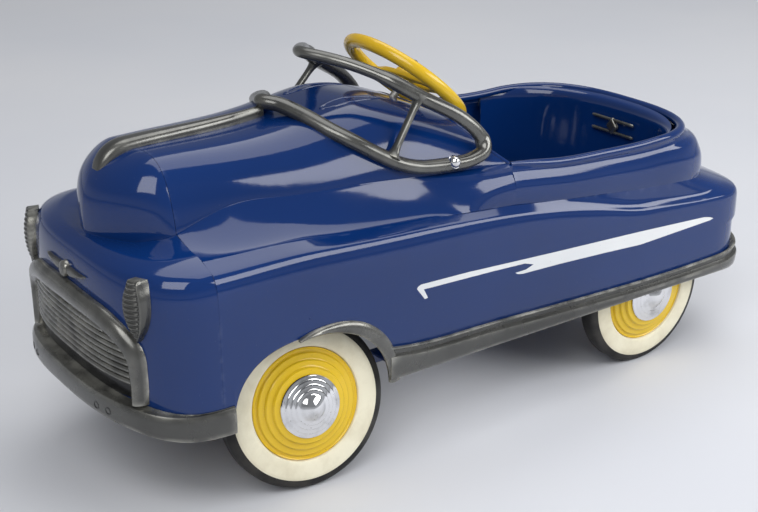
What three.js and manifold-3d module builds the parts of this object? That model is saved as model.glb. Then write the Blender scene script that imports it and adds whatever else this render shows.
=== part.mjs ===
// A child's pedal car of pressed steel: a glossy body with a raised hood, an open cockpit and a stepped
// tail, riding on four rubber-tyred disc wheels. The front wheels steer through a drop arm and a tie rod,
// and swinging pedals drive a cranked rear axle through two push rods.
// Millimetres. X points to the car's left, Y to its rear, Z up; the wheels stand on Z = 0.
import * as THREE from "three";
import { mergeVertices } from "three/addons/utils/BufferGeometryUtils.js";
import Module from "manifold-3d";

const wasm = await Module();
wasm.setup();

// ---------------------------------------------------------------- driving dimensions
const SHEET = 3; // thickness of the pressed panels
const GAP = 0.3; // clearance between pieces that touch
const FIT = 0.6; // radial clearance of a running fit

const TYRE_RADIUS = 100;
const TYRE_WIDTH = 30;
const RIM_RADIUS = 69;
const REAR_AXLE_Y = 285;
const FRONT_FACE = { x: 162, z: 102.13 }; // middle of a front wheel's outer side before it is turned
const REAR_FACE_X = 161.7;
const REAR_HUB_Z = 100;
const CAMBER = 0.171; // lean of the front stub axles
const STEER_AT_REST = -0.105; // the front wheels stand turned a little to the right
const AXLE_RADIUS = 5;

const BODY_HALF = 180;
const SILL_BOTTOM = 112;
const PANEL_BOTTOM = 126; // the panels end behind the sill trim
const SEAM_Y = -378; // joint between nose and hood
const COWL_Y = 40; // where the hood meets the cockpit sides
const TAIL_Y = 250; // joint between side panels and tail
const NOSE_CENTRE_Y = -365;

const KINGPIN = { x: 112.5, y: -257, radius: 4 };
const STEER_ARM = 50; // knuckle arms and drop arm have one length, so they turn by the same angle
const STEER_WHEEL = { y: -4, z: 408, radius: 80, grip: 9, tilt: THREE.MathUtils.degToRad(42) };

const CRANK_RADIUS = 42;
const CRANK_X = 40;
const PEDAL_PIVOT = { y: -60, z: 300 };
const PEDAL_ARM = { x: 46, drive: 140, length: 175 };

// ---------------------------------------------------------------- finishes
const finish = (color, roughness, metalness) => () =>
  new THREE.MeshStandardMaterial({ color, roughness, metalness });
const paint = finish(0x23366f, 0.15, 0.1);
const trim = finish(0x62625f, 0.35, 0.8);
const chrome = finish(0xd8d8d8, 0.08, 1);
const yellow = finish(0xe0c234, 0.3, 0.05);
const rubber = finish(0x191919, 0.7, 0);
const steel = finish(0x8c8f92, 0.4, 0.9);

// ---------------------------------------------------------------- geometry helpers
const vec = (x, y, z) => new THREE.Vector3(x, y, z);
const { lerp, clamp } = THREE.MathUtils;
const steps = (count, at) => Array.from({ length: count + 1 }, (_, i) => at(i / count));

// A smooth curve through (position, value) knots, flat beyond its ends.
function rail(...knots) {
  const slope = (i) => {
    const a = knots[Math.max(i - 1, 0)];
    const b = knots[Math.min(i + 1, knots.length - 1)];
    return (b[1] - a[1]) / (b[0] - a[0]);
  };
  return (s) => {
    if (s <= knots[0][0]) return knots[0][1];
    const i = knots.findIndex((k) => k[0] >= s);
    if (i < 0) return knots.at(-1)[1];
    const [s0, v0] = knots[i - 1];
    const [s1, v1] = knots[i];
    const h = s1 - s0;
    const t = (s - s0) / h;
    const [t2, t3] = [t * t, t * t * t];
    return (
      v0 * (2 * t3 - 3 * t2 + 1) + slope(i - 1) * h * (t3 - 2 * t2 + t) +
      v1 * (3 * t2 - 2 * t3) + slope(i) * h * (t3 - t2)
    );
  };
}

// One closed solid through loops with the same even number of points; each end is closed by a ladder of
// faces between the loop's first and second half.
function loft(loops) {
  const count = loops[0].length;
  const last = (loops.length - 1) * count;
  const faces = [];
  const quad = (a, b, c, d) => faces.push(a, b, c, a, c, d);
  for (let at = 0; at < last; at += count)
    for (let k = 0; k < count; k++) {
      const next = (k + 1) % count;
      quad(at + k, at + next, at + count + next, at + count + k);
    }
  for (let k = 0; k + 1 < count / 2; k++) {
    quad(count - 1 - k, count - 2 - k, k + 1, k);
    quad(last + k, last + k + 1, last + count - 2 - k, last + count - 1 - k);
  }
  const geometry = new THREE.BufferGeometry();
  const positions = loops.flat().flatMap((p) => [p.x, p.y, p.z]);
  geometry.setAttribute("position", new THREE.Float32BufferAttribute(positions, 3));
  geometry.setIndex(faces);
  return facingOut(geometry);
}

// Turns the faces round when they enclose a negative volume.
function facingOut(geometry) {
  const [a, b, c] = [vec(), vec(), vec()];
  const { index, attributes } = geometry;
  let volume = 0;
  for (let i = 0; i < index.count; i += 3) {
    a.fromBufferAttribute(attributes.position, index.getX(i));
    b.fromBufferAttribute(attributes.position, index.getX(i + 1));
    c.fromBufferAttribute(attributes.position, index.getX(i + 2));
    volume += a.dot(b.cross(c));
  }
  if (volume < 0) index.array.reverse();
  return geometry;
}

// A panel of even thickness under a grid of outer points. The first and last rows stay in their own Y, and
// the first and last columns may be turned inward "down" or "level", so neighbouring panels keep apart.
function sheet(rows, sign, firstEdge, lastEdge) {
  const columns = rows[0].length;
  const at = (i, k) => rows[clamp(i, 0, rows.length - 1)][clamp(k, 0, columns - 1)];
  const inner = rows.map((row, i) =>
    row.map((p, k) => {
      const along = at(i + 1, k).clone().sub(at(i - 1, k));
      const across = at(i, k + 1).clone().sub(at(i, k - 1));
      const inward = along.cross(across).multiplyScalar(sign);
      const edge = k === 0 ? firstEdge : k === columns - 1 ? lastEdge : null;
      if (edge === "down") inward.set(0, 0, -1);
      if (edge === "level") inward.z = 0;
      if (i === 0 || i === rows.length - 1) inward.y = 0;
      return p.clone().addScaledVector(inward.normalize(), SHEET);
    }),
  );
  return loft(rows.map((row, i) => [...row, ...inner[i].reverse()]));
}

function mirrored(geometry) {
  const copy = geometry.clone().applyMatrix4(new THREE.Matrix4().makeScale(-1, 1, 1));
  copy.index.array.reverse();
  return copy;
}

function solid(geometry) {
  const plain = geometry.clone();
  for (const name of ["normal", "uv"]) plain.deleteAttribute(name);
  const merged = mergeVertices(plain, 1e-4);
  return new wasm.Manifold(
    new wasm.Mesh({
      numProp: 3,
      vertProperties: merged.attributes.position.array,
      triVerts: new Uint32Array(merged.index.array),
    }),
  );
}

function geometryOf(manifold) {
  const { vertProperties, triVerts } = manifold.getMesh();
  const geometry = new THREE.BufferGeometry();
  geometry.setAttribute("position", new THREE.BufferAttribute(vertProperties, 3));
  geometry.setIndex(new THREE.BufferAttribute(triVerts, 1));
  return geometry;
}

const join = (...pieces) => geometryOf(pieces.map(solid).reduce((all, piece) => all.add(piece)));
const cut = (from, ...tools) =>
  geometryOf(tools.map(solid).reduce((all, tool) => all.subtract(tool), solid(from)));

function box(x0, x1, y0, y1, z0, z1) {
  const block = new THREE.BoxGeometry(x1 - x0, y1 - y0, z1 - z0);
  return block.translate((x0 + x1) / 2, (y0 + y1) / 2, (z0 + z1) / 2);
}

// A round bar from one point to another.
function bar(from, to, radius, sides = 12, endRadius = radius) {
  const axis = to.clone().sub(from);
  const turn = new THREE.Quaternion().setFromUnitVectors(vec(0, 1, 0), axis.clone().normalize());
  const middle = from.clone().addScaledVector(axis, 0.5);
  return new THREE.CylinderGeometry(endRadius, radius, axis.length(), sides)
    .applyQuaternion(turn)
    .translate(middle.x, middle.y, middle.z);
}

// An upright round disc or pin at (x, y) between two heights.
const discZ = (x, y, radius, z0, z1) => bar(vec(x, y, z0), vec(x, y, z1), radius, 16);

// A solid of revolution about the X axis from (x, radius) points that close on themselves or on the axis.
function turned(profile, segments = 28) {
  const closed = profile[0][1] > 0 ? [...profile, profile[0]] : profile;
  const points = closed.map(([x, r]) => new THREE.Vector2(r, x));
  const lathe = new THREE.LatheGeometry(points, segments).rotateZ(-Math.PI / 2);
  return facingOut(mergeVertices(withoutSurfaceData(lathe), 1e-4));
}

function withoutSurfaceData(geometry) {
  for (const name of ["normal", "uv"]) geometry.deleteAttribute(name);
  return geometry;
}

const YZ_PLANE = new THREE.Matrix4().makeBasis(vec(0, 1, 0), vec(0, 0, 1), vec(1, 0, 0));

// A plate in the YZ plane between two X positions, from an outline of (y, z) points and round holes.
function plateX(outline, x0, x1, holes = []) {
  const shape = new THREE.Shape(outline.map(([y, z]) => new THREE.Vector2(y, z)));
  for (const [y, z, radius] of holes)
    shape.holes.push(new THREE.Path().absarc(y, z, radius, 0, 2 * Math.PI, true));
  const settings = { depth: x1 - x0, bevelEnabled: false, curveSegments: 6 };
  const geometry = new THREE.ExtrudeGeometry(shape, settings);
  return mergeVertices(withoutSurfaceData(geometry.applyMatrix4(YZ_PLANE).translate(x0, 0, 0)), 1e-4);
}

// The same between two heights from (x, y) points, and between two Y positions from (x, z) points.
function plateZ(outline, z0, z1) {
  const shape = new THREE.Shape(outline.map(([x, y]) => new THREE.Vector2(x, y)));
  const geometry = new THREE.ExtrudeGeometry(shape, { depth: z1 - z0, bevelEnabled: false });
  return mergeVertices(withoutSurfaceData(geometry.translate(0, 0, z0)), 1e-4);
}
const plateY = (outline, y0, y1) => plateZ(outline, -y1, -y0).rotateX(Math.PI / 2);

const car = new THREE.Group();

function add(name, geometry, material, parent = car) {
  const mesh = new THREE.Mesh(geometry, material());
  mesh.name = name;
  parent.add(mesh);
  return mesh;
}

// The same piece on the left and, mirrored, on the right.
function addPair(name, geometry, material, leftParent = car, rightParent = car) {
  add(name + "_left", geometry, material, leftParent);
  add(name + "_right", mirrored(geometry), material, rightParent);
}

// ---------------------------------------------------------------- body lines, as functions of Y
const ridgeZ = rail([-378, 391], [-219, 396], [-110, 408], [-60, 400], [0, 379], [40, 361]);
const hoodLineX = rail([-378, 93], [-313, 98], [-230, 108], [-140, 118], [-60, 129], [40, 150]);
const hoodLineZ = rail([-378, 314], [-313, 335], [-230, 333], [-140, 331], [-60, 327], [40, 328]);
const deckLineX = rail([-378, 150], [-250, 153], [-70, 158], [60, 166], [200, 169], [290, 168]);
const deckLineZ = rail([-400, 302], [-260, 298], [-70, 287], [60, 276], [185, 263], [330, 250], [425, 243]);
const shoulderZ = rail([-378, 281], [-267, 280], [-143, 268], [-60, 260], [70, 246], [250, 221], [425, 209]);
const rimX = rail([40, 153], [120, 157], [250, 158]);
const rimZ = rail([40, 331], [120, 323], [200, 319], [300, 318]);

const ARCH = { y: -263, half: 103, height: 195 };

// Lower edge of the side panels: level, and lifted over the front wheel.
function panelBottom(y) {
  const across = Math.abs(y - ARCH.y) / ARCH.half;
  if (across >= 1) return PANEL_BOTTOM;
  return Math.max(PANEL_BOTTOM, lerp(100, ARCH.height, (1 - across ** 2.6) ** (1 / 2.6)));
}

// How far the hood has dropped at a share of its half width, as a share of its height.
const hoodDrop = (share, power) => 1 - (1 - share ** power) ** 0.8;

// Quarter of a rounded rectangle: 0 is its side, 1 its end.
function corner(width, depth, power, t) {
  const angle = (t * Math.PI) / 2;
  return [width * Math.cos(angle) ** (2 / power), depth * Math.sin(angle) ** (2 / power)];
}

// ---------------------------------------------------------------- side panels
const SIDE_Y = [
  -378, -369, -365.5, -360, -345, -320, -290, -263, -230, -205,
  -182, -168, -160.5, -157, -100, -20, 60, 150, 250,
];

// Heights of one side section from its lower edge up to the deck line, as (x, z).
function sideSection(y) {
  const bottom = panelBottom(y);
  const shoulder = shoulderZ(y);
  const [deckX, deckZ] = [deckLineX(y), deckLineZ(y)];
  return [
    [BODY_HALF - 2, bottom],
    [BODY_HALF, lerp(bottom, shoulder - 18, 0.6)],
    [BODY_HALF, shoulder - 18],
    [BODY_HALF - 4, shoulder],
    [lerp(BODY_HALF - 4, deckX, 0.4), lerp(shoulder, deckZ, 0.72)],
    [deckX + GAP, deckZ - GAP],
  ];
}

function sidePanel() {
  const stations = SIDE_Y.map((y) => {
    const kept = y === SIDE_Y[0] ? y + GAP : y === TAIL_Y ? y - GAP : y;
    return sideSection(y).map(([x, z]) => vec(x, kept, z));
  });
  return sheet(stations, -1, null, "down");
}
addPair("side_panel", sidePanel(), paint);

// ---------------------------------------------------------------- tail
const SIDE_SHARE = 0.4; // share of each half ring that is straight

// A point on one ring of the tail; t runs from -1, the right side, through 0, the rear, to 1.
function tailPoint(ring, t) {
  const along = 1 - Math.abs(t);
  const side = Math.sign(t) || 1;
  if (along < SIDE_SHARE) {
    const y = lerp(TAIL_Y + GAP, ring.start, along / SIDE_SHARE);
    return vec(side * ring.width, y, ring.z(y));
  }
  const turn = (along - SIDE_SHARE) / (1 - SIDE_SHARE);
  const [x, depth] = corner(ring.width, ring.back - ring.start, ring.power, turn);
  return vec(side * x, ring.start + depth, ring.z(ring.start + depth));
}

const middleOfSide = (y) => lerp(PANEL_BOTTOM, shoulderZ(y) - 18, 0.6);
const TAIL_RINGS = [
  { width: BODY_HALF - 2, start: 372, back: 474, power: 3.5, z: () => PANEL_BOTTOM },
  { width: BODY_HALF, start: 372, back: 476, power: 3.5, z: middleOfSide },
  { width: BODY_HALF, start: 372, back: 482, power: 3.5, z: (y) => shoulderZ(y) - 18 },
  { width: BODY_HALF - 4, start: 372, back: 479, power: 3.5, z: shoulderZ },
  { width: 173, start: 345, back: 455, power: 3.4, z: (y) => shoulderZ(y) + 18 },
  { width: 169, start: 290, back: 426, power: 3.2, z: (y) => deckLineZ(y) - GAP },
];

const tailRows = (rings, count) => steps(count, (t) => rings.map((ring) => tailPoint(ring, 2 * t - 1)));
add("tail_shell", sheet(tailRows(TAIL_RINGS, 28), 1, null, "down"), paint);

// ---------------------------------------------------------------- cockpit walls with their rolled rim
// Each ring: outward offset from the rim line, share of the height from deck to rim, and its rear reach.
const WALL_RINGS = [
  { out: 11, up: 0, start: 290, back: 426, power: 3.2 },
  { out: 12.5, up: 0.35, start: 288, back: 425, power: 3.2 },
  { out: 8, up: 0.66, start: 284, back: 419, power: 3 },
  { out: 4, up: 0.78, start: 275, back: 407, power: 2.8 },
  { out: 6, up: 0.9, start: 272, back: 404, power: 2.7 },
  { out: 1, up: 1, start: 270, back: 396, power: 2.7 },
  { out: -6, up: 0.93, start: 268, back: 389, power: 2.7 },
];

const wallZ = (ring, y) => lerp(deckLineZ(y) + GAP, rimZ(y), ring.up);

function cockpitSide() {
  const stations = steps(7, (t) => {
    const y = lerp(COWL_Y + GAP, TAIL_Y - GAP, t);
    const foot = deckLineX(y) - rimX(y);
    const out = (ring) => lerp(foot, ring.out, Math.min(1, ring.up * 3));
    return WALL_RINGS.map((ring) => vec(rimX(y) + out(ring), y, wallZ(ring, y)));
  });
  return sheet(stations, -1, "level");
}
addPair("cockpit_side", cockpitSide(), paint);

const wallRings = WALL_RINGS.map((ring) => ({
  ...ring,
  width: rimX(TAIL_Y) + ring.out,
  z: (y) => wallZ(ring, y),
}));
add("cockpit_back", sheet(tailRows(wallRings, 24), 1, "level"), paint);

// Curved backrest panel in front of the cockpit's rear wall.
const BACKREST_RINGS = [[368, 203], [371, 245], [376, 308]].map(([back, z]) => ({
  width: 157,
  start: 252,
  back,
  power: 2.3,
  z: () => z,
}));
add("seat_back", sheet(tailRows(BACKREST_RINGS, 18), 1), paint);

// ---------------------------------------------------------------- hood and cowl
const COWL_CENTRE_Y = 2;
const SECTION_SHARES = [0, 0.3, 0.5, 0.66, 0.8, 0.9, 0.96, 1];

// Half a hood section, from the deck line over the hood line to the middle.
function hoodHalf(t) {
  const columns = [];
  const yAt = (reach) => lerp(SEAM_Y + GAP, reach, t);
  for (const share of [0, 0.33, 0.66]) {
    const y = yAt(COWL_Y);
    const x = lerp(deckLineX(y) - GAP, hoodLineX(y), share);
    columns.push(vec(x, y, lerp(deckLineZ(y) + GAP, hoodLineZ(y), share ** 1.5)));
  }
  for (const share of [...SECTION_SHARES].reverse()) {
    const y = yAt(lerp(COWL_CENTRE_Y, COWL_Y, share ** 6));
    const power = lerp(6, 4, Math.min(1, 2 * t));
    const drop = hoodDrop(share, power);
    columns.push(vec(share * hoodLineX(y), y, lerp(ridgeZ(y), hoodLineZ(y), drop)));
  }
  return columns;
}

const flipX = (p) => vec(-p.x, p.y, p.z);
const hoodRows = steps(14, (t) => {
  const half = hoodHalf(t);
  return [...half, ...half.slice(0, -1).reverse().map(flipX)];
});

const shaftAxis = vec(0, Math.sin(STEER_WHEEL.tilt), Math.cos(STEER_WHEEL.tilt));
const wheelCentre = vec(0, STEER_WHEEL.y, STEER_WHEEL.z);
const onShaft = (distance) => wheelCentre.clone().addScaledVector(shaftAxis, distance);

add("hood_cowl_shell", cut(sheet(hoodRows, -1, "down", "down"), bar(onShaft(-70), onShaft(20), 10)), paint);

// ---------------------------------------------------------------- nose
const SEAM_DEPTH = NOSE_CENTRE_Y - SEAM_Y + GAP;
const DECK_RINGS = [
  { width: BODY_HALF - 2, depth: 98, z: 118 },
  { width: BODY_HALF, depth: 102, z: 198 },
  { width: BODY_HALF, depth: 102, z: 263 },
  { width: BODY_HALF - 4, depth: 98, z: 281 },
  { width: 165, depth: 89, z: 293 },
];

const BASE_SHARES = [1, 0.98, 0.95, 0.9, 0.8, 0.62, 0.35, 0.08];

function domeFront(z) {
  const rise = Math.min(1, Math.max(0, (z - 303) / 88));
  return SEAM_Y - 65 * (1 - rise ** 3) ** 0.6;
}

// One meridian of the nose, from its lower edge to the top; t runs from -1 to 1 around the front.
function noseMeridian(t) {
  const along = 1 - Math.abs(t);
  const side = Math.sign(t) || 1;
  const meridian = DECK_RINGS.map((ring) => {
    const start = Math.asin((SEAM_DEPTH / ring.depth) ** (2.75 / 2)) / (Math.PI / 2);
    const [x, depth] = corner(ring.width, ring.depth, 2.75, lerp(start, 1, along));
    return vec(side * x, NOSE_CENTRE_Y - depth, ring.z);
  });
  const [deckX, deckDepth] = corner(deckLineX(SEAM_Y), 76, 2.2, along);
  meridian.push(vec(side * deckX, SEAM_Y - GAP - deckDepth, 301));
  const [foot, crown] = [hoodLineZ(SEAM_Y), ridgeZ(SEAM_Y)];
  for (const share of BASE_SHARES) {
    const z = lerp(crown, foot, hoodDrop(share, 6));
    const front = domeFront(share === 1 ? 303 : z);
    const [x, depth] = corner(share * hoodLineX(SEAM_Y), SEAM_Y - front, share > 0.9 ? 1.5 : 1.8, along);
    meridian.push(vec(side * x, SEAM_Y - GAP - depth, share === 1 ? lerp(z, 304, along) : z));
  }
  return meridian;
}
add("nose_shell", sheet(steps(22, (t) => noseMeridian(2 * t - 1)), -1), paint);

// The nose's outer surface below its deck, as Y at a place (x, z).
function noseY(x, z) {
  const i = Math.max(1, DECK_RINGS.findIndex((ring) => ring.z >= z));
  const [low, high] = [DECK_RINGS[i - 1], DECK_RINGS[i]];
  const share = clamp((z - low.z) / (high.z - low.z), 0, 1);
  const [width, depth] = [lerp(low.width, high.width, share), lerp(low.depth, high.depth, share)];
  return NOSE_CENTRE_Y - depth * (1 - Math.min(1, Math.abs(x) / width) ** 2.75) ** (1 / 2.75);
}

// ---------------------------------------------------------------- sill trim and bumpers
const sillTop = rail([-161, 152], [-134, 148], [6, 142], [105, 138], [266, 133], [372, 133]);
const SILL_END_Y = 330;

// Section of the sill as (out, up): out from the body's side, up from the sill's lower edge.
const sillSection = (height) => [
  [GAP, 0],
  [3.5, -1.5],
  [6, 4],
  [6.5, height * 0.55],
  [4.2, height * 0.62],
  [4.2, height * 0.68],
  [5.5, height * 0.74],
  [5, height],
  [2.5, height + 1],
  [GAP, height],
];

function sill() {
  const stations = [-161, -130, -80, -20, 50, 130, 220, SILL_END_Y - GAP].map((y) =>
    sillSection(sillTop(y) - SILL_BOTTOM).map(([out, up]) => vec(BODY_HALF + out, y, SILL_BOTTOM + up)),
  );
  return loft(stations);
}

// The grey edge over the rear half of the wheel arch, running into the sill.
function archTrim() {
  const stations = steps(9, (t) => {
    const angle = lerp(1.72, 0.06, t);
    const inner = [ARCH.y + 102.3 * Math.cos(angle), 100 + 95 * Math.sin(angle) ** 0.84];
    const width = 15.5 * Math.sin(Math.min(1, 0.25 + t * 1.8) * 1.57);
    const outer = [
      inner[0] + width * Math.max(0, Math.cos(angle)) ** 0.7,
      inner[1] + width * 0.9 * Math.sin(angle),
    ];
    return [
      [GAP, inner],
      [3.8, inner],
      [4.5, [lerp(inner[0], outer[0], 0.4), lerp(inner[1], outer[1], 0.4)]],
      [3, outer],
      [GAP, outer],
      [GAP, [lerp(inner[0], outer[0], 0.6), lerp(inner[1], outer[1], 0.6)]],
    ].map(([out, [y, z]]) => vec(BODY_HALF + out, y, z));
  });
  return loft(stations);
}
addPair("sill_trim", join(sill(), archTrim()), trim);

const REAR_BUMPER_RING = { width: BODY_HALF, start: 372, back: 479, power: 3.5 };

function rearBumper() {
  const stations = steps(24, (t) => {
    const side = 2 * t - 1;
    const along = 1 - Math.abs(side);
    const share = 0.1;
    const turn = (Math.max(0, along - share) / (1 - share)) * (Math.PI / 2);
    const bulk = Math.sin(turn);
    return sillSection(lerp(21, 41, bulk)).map(([out, up]) => {
      const { width, start, back, power } = REAR_BUMPER_RING;
      const x = (width + out) * Math.cos(turn) ** (2 / power);
      const depth = (back - start + out) * bulk ** (2 / power);
      const straight = Math.min(1, along / share);
      const y = lerp(SILL_END_Y + GAP, start, straight) + depth;
      return vec((Math.sign(side) || 1) * x, y, lerp(SILL_BOTTOM, 103, bulk) + up);
    });
  });
  return loft(stations);
}
add("rear_bumper", rearBumper(), trim);

const BUMPER = { half: 184, reach: 120.2 };

function frontBumper() {
  const heights = rail([0, 109], [0.5, 114], [0.8, 124], [1, 128]);
  const stations = steps(24, (t) => {
    const side = 2 * t - 1;
    const turn = (1 - Math.abs(side)) * (Math.PI / 2);
    const front = Math.sin(turn);
    const bottom = heights(front);
    const top = bottom + lerp(31, 24, front);
    const plan = (out, z) => {
      const [c, s] = [Math.cos(turn) ** (2 / 2.75), front ** (2 / 2.75)];
      const y = NOSE_CENTRE_Y - GAP - (BUMPER.reach + out) * s;
      return vec((Math.sign(side) || 1) * (BUMPER.half + out) * c, y, z);
    };
    const back = (z) => {
      const [c, s] = [Math.cos(turn) ** (2 / 2.75), front ** (2 / 2.75)];
      return vec((Math.sign(side) || 1) * (BODY_HALF + 1) * c, NOSE_CENTRE_Y - GAP - 103 * s, z);
    };
    return [
      plan(-2, bottom),
      plan(0, lerp(bottom, top, 0.3)),
      plan(0, lerp(bottom, top, 0.7)),
      plan(-1.5, top),
      back(top + 1),
      back(top - 2),
      plan(-3.4, top - 3),
      plan(-3, lerp(bottom, top, 0.7)),
      plan(-3, lerp(bottom, top, 0.3)),
      plan(-3.6, bottom),
    ];
  });
  return loft(stations);
}
add("front_bumper", frontBumper(), trim);

// ---------------------------------------------------------------- grille, emblem, ornament, headlights
// Half outline of the grille frame as (outer x, outer z, inner x, inner z), from its foot to the middle.
const GRILLE_HALF = [
  [137, 158, 125, 158],
  [139, 180, 126.5, 178],
  [136, 212, 123, 203],
  [118, 232, 108, 217],
  [90, 246, 84, 225],
  [60, 250, 58, 228],
  [30, 252, 29, 229],
];
const GRILLE_OUTLINE = [
  ...GRILLE_HALF,
  [0, 253, 0, 229],
  ...[...GRILLE_HALF].reverse().map(([ox, oz, ix, iz]) => [-ox, oz, -ix, iz]),
];

function grilleFrame() {
  const stations = GRILLE_OUTLINE.map(([ox, oz, ix, iz]) =>
    [
      [0, 0.6],
      [0.08, 7],
      [0.45, 10],
      [0.85, 8],
      [1, 5],
      [1, 0.6],
      [0.66, 0.6],
      [0.33, 0.6],
    ].map(([share, out]) => {
      const [x, z] = [lerp(ox, ix, share), lerp(oz, iz, share)];
      return vec(x, noseY(x, z) - out, z);
    }),
  );
  return loft(stations);
}
add("grille_frame", grilleFrame(), trim);

function grilleBars() {
  const pitch = 7.4;
  const [bottom, count] = [170, 8];
  const stations = steps(12, (t) => {
    const x = lerp(-128, 128, t);
    const outer = [];
    for (let i = 0; i < count; i++) {
      const z = bottom + i * pitch;
      outer.push([z, 2], [z + 0.25 * pitch, 5], [z + 0.75 * pitch, 5]);
    }
    const inner = outer.map(([z]) => [z, 0.8]).reverse();
    return [...outer, ...inner].map(([z, out]) => vec(x, noseY(x, z) - out, z));
  });
  const edge = GRILLE_OUTLINE.map(([, , ix, iz]) => [ix - Math.sign(ix) * 0.6, iz - 0.6]);
  const mouth = plateY(edge, -500, -430);
  return geometryOf(solid(loft(stations)).intersect(solid(mouth)));
}
add("grille_bars", grilleBars(), trim);

const EMBLEM_HALF = [[0, 258], [7, 259], [9, 264], [30, 264], [49, 270], [28, 272], [8, 271], [6, 275]];

function emblem() {
  const left = EMBLEM_HALF.slice(1).map(([x, z]) => [-x, z]);
  const outline = [...EMBLEM_HALF, [0, 276], ...left.reverse()];
  return plateY(outline, -473, -468.6);
}
add("nose_emblem", emblem(), trim);

// Height of the nose and hood along their middle.
function middleZ(y) {
  if (y > SEAM_Y) return ridgeZ(y);
  const reach = clamp((SEAM_Y - y) / 65, 0, 1);
  return Math.min(ridgeZ(SEAM_Y), 303 + 88 * (1 - reach ** (1 / 0.6)) ** (1 / 3));
}

// Stations of the ornament along the hood as (y, top, half width).
const ORNAMENT = [
  [-426, 374, 3.5],
  [-421, 384, 6],
  [-412, 393, 8],
  [-398, 399, 8.5],
  [-376, 400, 8.5],
  [-330, 401, 7.5],
  [-280, 402, 6],
  [-236, 405, 4],
  [-214, 408, 2],
];

function ornament() {
  const stations = ORNAMENT.map(([y, top, half]) => {
    const foot = middleZ(y) + 1.6;
    const section = [[half, foot], [half * 0.85, lerp(foot, top, 0.55)], [half * 0.3, top]];
    return section.map(([x, z]) => vec(x, y, z));
  });
  return loft(stations.map((half) => [...half, ...[...half].reverse().map(flipX)]));
}
add("hood_ornament", ornament(), trim);

const LAMP = { x: 140, angle: 0.58, bulge: 9 };
// Half width of the lamp over its height, from the pointed foot to the flat top.
const lampHalf = rail([228, 2], [236, 8], [250, 13.5], [264, 15.5], [280, 14.5], [292, 12]);

function headlight() {
  const outward = vec(Math.sin(LAMP.angle), -Math.cos(LAMP.angle), 0);
  const across = vec(Math.cos(LAMP.angle), Math.sin(LAMP.angle), 0);
  const seat = vec(LAMP.x, noseY(LAMP.x, 250), 0);
  const stations = [228, 231, 236, 243, 250, 257, 264, 272, 280, 287, 292].map((z) => {
    const half = lampHalf(z);
    const shares = [-1, -0.92, -0.5, 0, 0.5, 0.92, 1];
    const lean = Math.sin(((z - 222) / 76) * Math.PI) ** 0.7;
    const front = shares.map((share) => {
      const out = 4 + LAMP.bulge * lean * Math.sqrt(1 - share * share);
      return seat.clone().addScaledVector(across, share * half).addScaledVector(outward, out).setZ(z);
    });
    const back = shares.map((share) => {
      const p = seat.clone().addScaledVector(across, share * half);
      return vec(p.x, noseY(p.x, z), z).addScaledVector(outward, 1);
    });
    return [...front, ...back.reverse()];
  });
  return loft(stations);
}
addPair("headlight", headlight(), trim);

// ---------------------------------------------------------------- windshield
const WINDSHIELD_HALF = [
  [18, -198, 410.5],
  [44, -187, 404],
  [81, -170, 390],
  [102, -150, 377],
  [115, -124, 360],
  [123, -100, 347],
  [128, -76, 340],
  [132, -52, 338],
  [136, -31, 338],
  [139, -10, 339.5],
  [140, 8, 347],
  [135, 10, 360],
  [127, -12, 386],
  [110, -61, 417],
  [84, -95, 440],
  [56, -118, 452],
  [30, -138, 459],
];

function windshield() {
  const half = WINDSHIELD_HALF.map(([x, y, z]) => vec(x, y, z));
  const loop = [vec(0, -210, 413), ...half, vec(0, -155, 463), ...[...half].reverse().map(flipX)];
  const curve = new THREE.CatmullRomCurve3(loop, true, "centripetal");
  const hoop = mergeVertices(withoutSurfaceData(new THREE.TubeGeometry(curve, 48, 7.5, 7, true)), 1e-3);
  const post = bar(vec(109, -64, 418), vec(120, -112, 356), 5, 8);
  const blocks = hoodRows.map(raised);
  const hood = loft(blocks.map((row) => [...row, ...[...row].reverse().map((p) => vec(p.x, p.y, 250))]));
  return cut(join(facingOut(hoop), post, mirrored(post)), hood, ornament());
}
const raised = (row) => row.map((p) => vec(p.x * 1.004, p.y, p.z + 0.5));
add("windshield_frame", windshield(), trim);

const nutProfile = [[0, 0], [0, 6.5], [3, 6.5], [5, 5.6], [7, 3.4], [7.8, 0]];
function windshieldNut() {
  const lean = 0.6;
  const nut = turned(nutProfile, 12).rotateY(-lean);
  return nut.translate(134.9 + 8.2 * Math.cos(lean), -36, 337.8 + 8.2 * Math.sin(lean));
}
addPair("windshield_nut", windshieldNut(), chrome);

function badge() {
  const stripes = [-1, 1].map((side) => box(-40, 40, 362, 366, 281 + side * 9 - 2, 281 + side * 9 + 2));
  return join(...stripes, box(-10, 10, 361.5, 366.5, 269, 293));
}
add("rear_badge", badge(), trim);

// ---------------------------------------------------------------- seat and frame
const seatHalf = [[174, 120], [174, 175], [124, 181], [124, 404]];
const seatOutline = [...seatHalf, ...[...seatHalf].reverse().map(([x, y]) => [-x, y])];
add("seat_pan", plateZ(seatOutline, 190, 194), paint);

const sideRail = join(
  box(106, 110, -136, 269.7, 95, 113),
  box(93, 110, 262, 269.7, 95, 113),
  box(106, 174, -136, -122, 110, 113),
  box(171, 174, -136, -122, 110, 140),
);
addPair("frame_rail", sideRail, paint);

const subframe = join(
  box(24, 28, -459, -144, 134, 150),
  box(-28, -24, -459, -144, 134, 150),
  box(-28, 28, -420, -408, 134, 138),
  box(-28, 28, -160, -144, 134, 138),
);
add("front_subframe", subframe, paint);
add("front_cross_strap", box(-174.5, 174.5, -154, -144, 150.3, 154), paint);

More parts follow.
